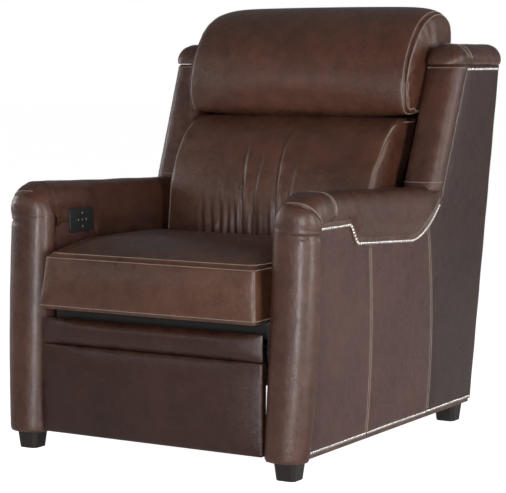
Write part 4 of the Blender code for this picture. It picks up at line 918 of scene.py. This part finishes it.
def bolster(name):
    """The headrest: one profile carried across, its ends boxed."""
    stations = [(x, head_full(x)) for x in np.linspace(-0.3180, 0.3180, 75)]
    stations = [(-x, full) for x, full in reversed(HEAD_ENDS)] + stations + list(HEAD_ENDS)
    rings = []
    for x, full in stations:
        ring = []
        for y, z in through_spline(HEAD_PROFILE, 96):
            drawn = full - 0.085 * (abs(x) / HEAD_SEAM) ** 12 * smooth((z - 0.90) / 0.13)
            ring.append((x, head_y + (y - head_y) * drawn, head_z + (z - head_z) * drawn))
        rings.append(ring)
    return object_of(name, *loft(rings))


def head_rear(z):
    return 0.386003 + (z - 0.840) * board_rake


def seat_held(x, y, z):
    rim = max(smooth((abs(x) - 0.283) / 0.008), smooth((-0.512 - y) / 0.008))
    seams = rim * smooth((0.011 - abs(z - SEAT_TOP)) / 0.006)
    return max(seams, smooth((0.363 - z) / 0.008), smooth((y + 0.052) / 0.012))


def back_held(x, y, z):
    edge, half = back_edge(z)
    end = smooth((abs(x) - half + 0.010) / 0.007)
    seams = max(end * smooth((edge + 0.013 - y) / 0.006), end * smooth((z - BACK_TOP + 0.010) / 0.005))
    return max(0.92 * seams, smooth((y - board_face(z) + 0.016) / 0.010), smooth((0.452 - z) / 0.015))


def head_held(x, y, z):
    return max(0.9 * smooth((0.009 - abs(abs(x) - HEAD_SEAM)) / 0.005), smooth((y - head_rear(z) + 0.020) / 0.012))


seat = boxed("seat_pad", (72, 60, 15), seat_place)
back = boxed("back_pad", (72, 20, 60), back_place, 4)
head = bolster("head_pad")
ottoman = boxed("ottoman_panel", (96, 5, 34), panel_place(0.3085, 0.0475, 0.2640, -0.5120, -0.4912, 0.0150), 2)
band = boxed("band_panel", (96, 5, 14), panel_place(0.3085, 0.2655, 0.3290, -0.5110, -0.5062, 0.0190), 2)
for made, look, body, node_name in ((seat, seat_leather, "seat", "seat_cushion"),
                                    (back, back_leather, "back", "back_cushion"),
                                    (head, back_leather, "headrest", "headrest_cushion"),
                                    (ottoman, panel_leather_shaded, "ottoman", "ottoman_pad"),
                                    (band, panel_leather_shaded, "band", "band_pad")):
    made.data.materials.clear()
    dressed(made, look, body)
    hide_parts(node_name)
inflate(seat, seat_held, 3.6, 0.012, bending=7.0)
inflate(back, back_held, 3.6, 0.013, bending=5.0)
inflate(head, head_held, 2.4, 0.006, bending=12.0)
for made in (seat, back, head, ottoman, band):
    step = made.modifiers.new("fine", "SUBSURF")
    step.levels = step.render_levels = 1
    final_mesh(made).shade_smooth()


# Seams, stitches and nails

def small_parts(name, batches, look, body):
    """One mesh of many small pieces; each batch is (points, faces)."""
    points, faces = [], []
    for some_points, some_faces in batches:
        shift = len(points)
        points += some_points
        faces += [tuple(i + shift for i in face) for face in some_faces]
    dressed(object_of(name, points, faces, turned=False), look, body)


def round_ring(middle, first, second, radius, count):
    """Points round a middle, in the plane of two unit vectors."""
    angles = (2 * pi * i / count for i in range(count))
    return [middle + (first * cos(a) + second * sin(a)) * radius for a in angles]


def stitch(start, end, normal):
    """One thread between two holes: a small spindle that dives in at both ends."""
    across = normal.cross((end - start).normalized()).normalized()
    shares = ((0.0, 0.25, -0.6), (0.22, 0.85, 0.25), (0.5, 1.0, 0.55), (0.78, 0.85, 0.25), (1.0, 0.25, -0.6))
    return loft([round_ring(start.lerp(end, share) + normal * thread_radius * lift, across, normal,
                            thread_radius * full, 6) for share, full, lift in shares])


def along(hits, pitch):
    """Points at an even pitch along a row of hits, with their normals."""
    out, walked, target = [], 0.0, 0.0
    for (a, na), (b, nb) in zip(hits, hits[1:]):
        length = (b - a).length
        if length > 0.05:
            continue
        while target <= walked + length and length > 0:
            share = (target - walked) / length
            out.append((a.lerp(b, share), na.lerp(nb, share).normalized()))
            target += pitch
        walked += length
    return out


def stitched(name, rows, body):
    """Thread along rows of hits, some of which may be None."""
    threads = []
    for hits in rows:
        marks = along([h for h in hits if h], stitch_pitch)
        threads += [stitch(a, a.lerp(b, stitch_fill), n)
                    for (a, n), (b, _) in zip(marks, marks[1:]) if (b - a).length < 0.02]
    small_parts(name, threads, thread_look, body)


def nail(spot, normal):
    """A domed head with its rim in the leather."""
    normal = normal.normalized()
    across = normal.orthogonal().normalized()
    profile = ((1.0, -0.0012), (1.0, 0.0002), (0.93, 0.00081), (0.76, 0.001674), (0.50, 0.002322), (0.22, 0.002646))
    return loft([round_ring(spot + normal * lift, across, normal.cross(across), nail_radius * share, 12)
                 for share, lift in profile])


# Seams of the seat: round its top and bottom edges, double-stitched
seat_middle = -0.28
surface = Surface(seat)
bury(seat, [around_z(surface, z, seat_middle, 240) for z in (SEAT_TOP, SEAT_LOW)], 0.0036, 0.0036)
surface = Surface(seat)
stitched("seat_stitches", [around_z(surface, z, seat_middle, 400)
                           for z in (SEAT_TOP + 0.0052, SEAT_TOP - 0.0056, SEAT_LOW + 0.0048)], "seat")

# Folds gather up from the back's foot
FOLDS = (                         # x at the foot and at the top, lowest and highest z, depth, width
    ((-0.062, -0.081), 0.57, 0.735, 0.0080, 0.0062), ((0.036, 0.024), 0.56, 0.790, 0.0085, 0.0062),
    ((-0.030, -0.026), 0.62, 0.720, 0.0026, 0.0060), ((0.070, 0.078), 0.60, 0.700, 0.0030, 0.0070),
    ((-0.182, -0.186), 0.48, 0.625, 0.0050, 0.0070), ((-0.150, -0.156), 0.48, 0.590, 0.0040, 0.0060),
    ((-0.123, -0.134), 0.48, 0.630, 0.0058, 0.0070), ((-0.100, -0.106), 0.48, 0.600, 0.0045, 0.0060),
    ((-0.078, -0.090), 0.48, 0.640, 0.0058, 0.0070), ((-0.048, -0.056), 0.48, 0.600, 0.0050, 0.0060),
    ((-0.015, -0.020), 0.48, 0.620, 0.0056, 0.0068), ((0.020, 0.016), 0.48, 0.600, 0.0040, 0.0070),
    ((0.110, 0.118), 0.50, 0.640, 0.0030, 0.0090), ((0.180, 0.172), 0.50, 0.620, 0.0030, 0.0100),
)


def back_fold(point, normal):
    """A groove with a ridge beside it for each gathered fold, on the cushion's front."""
    out, (x, _, z) = 0.0, point
    if normal[1] > -0.1:
        return out
    for (foot_x, top_x), low, high, depth, width in FOLDS:
        share = min(max((z - low) / (high - low), 0.0), 1.0)
        off = (x - lerp(foot_x, top_x, share) - 0.003 * wave((foot_x * 9, 0, z), 0.05, 2.0)) / width
        if abs(off) < 4:
            out += depth * (1 - share) ** 0.8 * (0.75 * exp(-(off - 1.25) ** 2) - exp(-off ** 2))
    return out


press(back, back_fold)
# Seams of the back: its boxed ends
surface = Surface(back)
upwards = np.arange(0.47, BACK_TOP - 0.004, 0.003)
for side in (-1, 1):
    corner = [(side * (back_edge(z)[1] + 0.001), back_edge(z)[0] - 0.001, z) for z in upwards]
    top = [(side * (back_edge(BACK_TOP)[1] + 0.001), y, BACK_TOP + 0.001) for y in np.arange(0.186, 0.268, 0.003)]
    bury(back, [[surface.near(p) for p in corner + top]], 0.0040, 0.0042)
surface = Surface(back)
rows = []
for side in (-1, 1):
    rows += [surface.line([(side * (back_edge(z)[1] - 0.0065), -0.8, z) for z in upwards[:-4]], (0, 1, 0)),
             surface.line([(side * 0.8, back_edge(z)[0] + 0.0065, z) for z in upwards[:-2]], (-side, 0, 0)),
             [surface.near((side * 0.318, y, BACK_TOP - 0.004)) for y in np.arange(0.196, 0.262, 0.003)]]
stitched("back_stitches", rows, "back")

# Seams of the headrest: its end panels
head_middle = (0.36, 0.945)
surface = Surface(head)
bury(head, [around_x(surface, x, head_middle, -100, 130, 120) for x in (-HEAD_SEAM, HEAD_SEAM)], 0.0040, 0.0042)
surface = Surface(head)
stitched("head_stitches", [around_x(surface, side * x, head_middle, -98, 128, 200)
                           for x in (HEAD_SEAM - 0.0062, HEAD_SEAM + 0.0056) for side in (-1, 1)],
         "headrest")

# The headrest's and the back's pads and stitches each get a mesh of their own
for yielding in ("head_pad", "head_stitches"):
    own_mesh(bpy.data.objects[yielding])
for yielding in ("back_pad", "back_stitches"):
    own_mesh(bpy.data.objects[yielding])

# Pale marks on the keys: an arrow on four of them, a dot on the fifth
key_marks = {"key_up": 90, "key_down": -90, "key_forward": 180, "key_back": 0, "key_home": None}
for key, turn in key_marks.items():
    corners = [frame["nodes"][key].matrix_world @ Vector(c) for c in frame["nodes"][key].bound_box]
    face = max(c.x for c in corners)
    middle_y, middle_z = (sum(c[i] for c in corners) / 8 for i in (1, 2))
    sides, reach = (12, 0.0016) if turn is None else (3, 0.0026)
    turns = [radians((turn or 0) + 360 * i / sides) for i in range(sides)]
    rings = [[(face + proud, middle_y + reach * cos(a), middle_z + reach * sin(a)) for a in turns]
             for proud in (-0.0004, 0.00025)]
    piece(f"mark_{key}", loft(rings), mark_look, sharp=30, body=key)


# Stitches and nails on the shell

def side_hit(surface, side, y, z):
    return surface.hit((side * 0.8, y, z), (-side, 0.0, 0.0))


for word, side in SIDES:
    skins = {key: Surface(bpy.data.objects[f"{key}_{word}"]) for key in (
        "side_front", "side_middle", "side_rear", "arm_cover", "edge_band", "wing_front", "wing_top")}
    found = []
    for y in stepped(roll_seam(plinth_nails_z) + 0.007, shell_rear(plinth_nails_z) - 0.006, nail_pitch):
        hits = [side_hit(skins[key], side, y, plinth_nails_z) for key in ("side_front", "side_middle", "side_rear")]
        found.append(max((h for h in hits if h), key=lambda h: abs(h[0].x), default=None))
    route = [(Vector((0, y, pad_edge(y))), Vector((1, 0, 0)))
             for y in np.arange(elbow_y + 0.006, pad_end - 0.016, 0.001)]
    found += [side_hit(skins["edge_band"], side, spot.y, spot.z) for spot, _ in along(route, nail_pitch)]
    found += [side_hit(skins["side_rear"], side, y, cap_nails_z)
              for y in stepped(wing_seam(0.922) + 0.010, shell_rear(0.922) - 0.008, nail_pitch)]
    small_parts(f"nails_{word}", [nail(*hit) for hit in found if hit], nail_look, "root")

    foot, ends = panel_foot + 0.012, [pad_edge(seam(0.5)) - 0.008 for seam in (seam_one, seam_two)]
    rows = [[side_hit(skins[key], side, seam(z) + shift, z) for z in np.arange(low, high, 0.004)]
            for key, seam, shift, low, high in (("side_front", seam_one, -seam_thread, foot, ends[0]),
                                                ("side_middle", seam_one, seam_thread, foot, ends[0]),
                                                ("side_middle", seam_two, -seam_thread, foot, ends[1]),
                                                ("side_rear", seam_two, seam_thread, foot, ends[1]),
                                                ("side_front", roll_seam, seam_thread, foot, 0.545),
                                                ("side_rear", wing_seam, seam_thread, 0.615, 0.915))]
    rows += [[skins["arm_cover"].near(p) for p in dense(ring[4:27], 0.003)]
             for ring in (elbow_ring(side, knuckle_angle + 4.2), pad_ring(side, ring_seam_y - 0.0045),
                          pad_ring(side, ring_seam_y + 0.0045))]
    for z in (arm_top_rear + 0.010, wing_top - 0.008):
        x, y = side * (side_x(z) - side_thickness / 2), wing_seam(z) - 0.020
        rows.append([skins["wing_front"].hit((x + side * 0.3 * cos(a), y - 0.3 * sin(a), z),
                                             (-side * cos(a), sin(a), 0.0))
                     for a in (radians(lerp(2, 150, i / 59)) for i in range(60))])
    for seam in cap_seams:
        rows.append([skins["wing_top"].hit(
            (side * (side_x(0.95) - side_thickness / 2 + 0.2 * cos(a)),
             cap_front + seam + cap_lean * (0.85 - 0.85 * share) + 0.0040, 0.945 + 0.2 * sin(a)),
            (-side * cos(a), 0.0, -sin(a)))
            for share, a in ((i / 39, radians(lerp(8, 100, i / 39))) for i in range(40))])
    stitched(f"side_stitches_{word}", rows, "root")


# Floor, light and camera

GLOSSY_SHARE, FLOOR_GLOW, WORLD_DIM = 0.16, 0.97, 0.02


def seen_as_background(tree):
    """1 for camera and transmission rays, and some of it for glossy ones."""
    path = tree.nodes.new("ShaderNodeLightPath").outputs
    direct = maths(tree, "MAXIMUM", path["Is Camera Ray"], path["Is Transmission Ray"])
    return maths(tree, "MAXIMUM", direct, maths(tree, "MULTIPLY", path["Is Glossy Ray"], GLOSSY_SHARE))


floor_look, tree, _ = new_look("floor_pale", Roughness=0.9, Specular_IOR_Level=0.1, Base_Color=(0.8, 0.8, 0.8, 1.0))
glow = add(tree, "Emission", {"Strength": maths(tree, "MULTIPLY", seen_as_background(tree), FLOOR_GLOW)})
both = add(tree, "AddShader",
           {0: tree.nodes["Principled BSDF"].outputs["BSDF"], 1: glow.outputs["Emission"]})
tree.links.new(both.outputs["Shader"], tree.nodes["Material Output"].inputs["Surface"])
floor = object_of("floor", [(-30, -30, 0), (30, -30, 0), (30, 30, 0), (-30, 30, 0)], [(0, 1, 2, 3)], turned=False)
floor.data.materials.append(floor_look)

world = bpy.data.worlds.new("studio")
scene.world = world
world.use_nodes = True
tree = world.node_tree
surround = tree.nodes["Background"].inputs
surround["Color"].default_value = (1.0, 1.0, 1.0, 1.0)
tree.links.new(span(tree, seen_as_background(tree), 0.0, 1.0, WORLD_DIM, 1.0), surround["Strength"])

lamp_aim = Vector((0.0, 0.0, 0.55))
for name, place, size, tall, power in (("right", (4.06, -1.09, 1.05), 1.0, 1.5, 88.0),
                                       ("front", (1.66, -4.29, 0.65), 0.8, 1.5, 116.0),
                                       ("left", (-3.98, -0.35, 1.4), 1.0, 1.5, 42.0),
                                       ("front_left", (-2.25, -3.85, 2.0), 1.0, 1.0, 9.0),
                                       ("rear", (2.95, 2.07, 1.3), 1.0, 1.5, 24.0)):
    light = bpy.data.lights.new(name, "AREA")
    light.shape = "RECTANGLE"
    light.size, light.size_y, light.energy = size, tall, power
    lamp = bpy.data.objects.new(name, light)
    lamp.location = place
    lamp.rotation_euler = (lamp_aim - Vector(place)).to_track_quat("-Z", "Y").to_euler()
    scene.collection.objects.link(lamp)

camera_data = bpy.data.cameras.new("camera")
camera_data.sensor_fit = "HORIZONTAL"
camera_data.sensor_width = 36.0
camera_data.lens = 135.22
camera = bpy.data.objects.new("camera", camera_data)
camera.location = (2.4754, -4.1588, 0.9518)
camera.rotation_euler = (radians(84.324), 0.0, radians(31.0))
scene.collection.objects.link(camera)
scene.camera = camera
scene.view_settings.view_transform = "Standard"
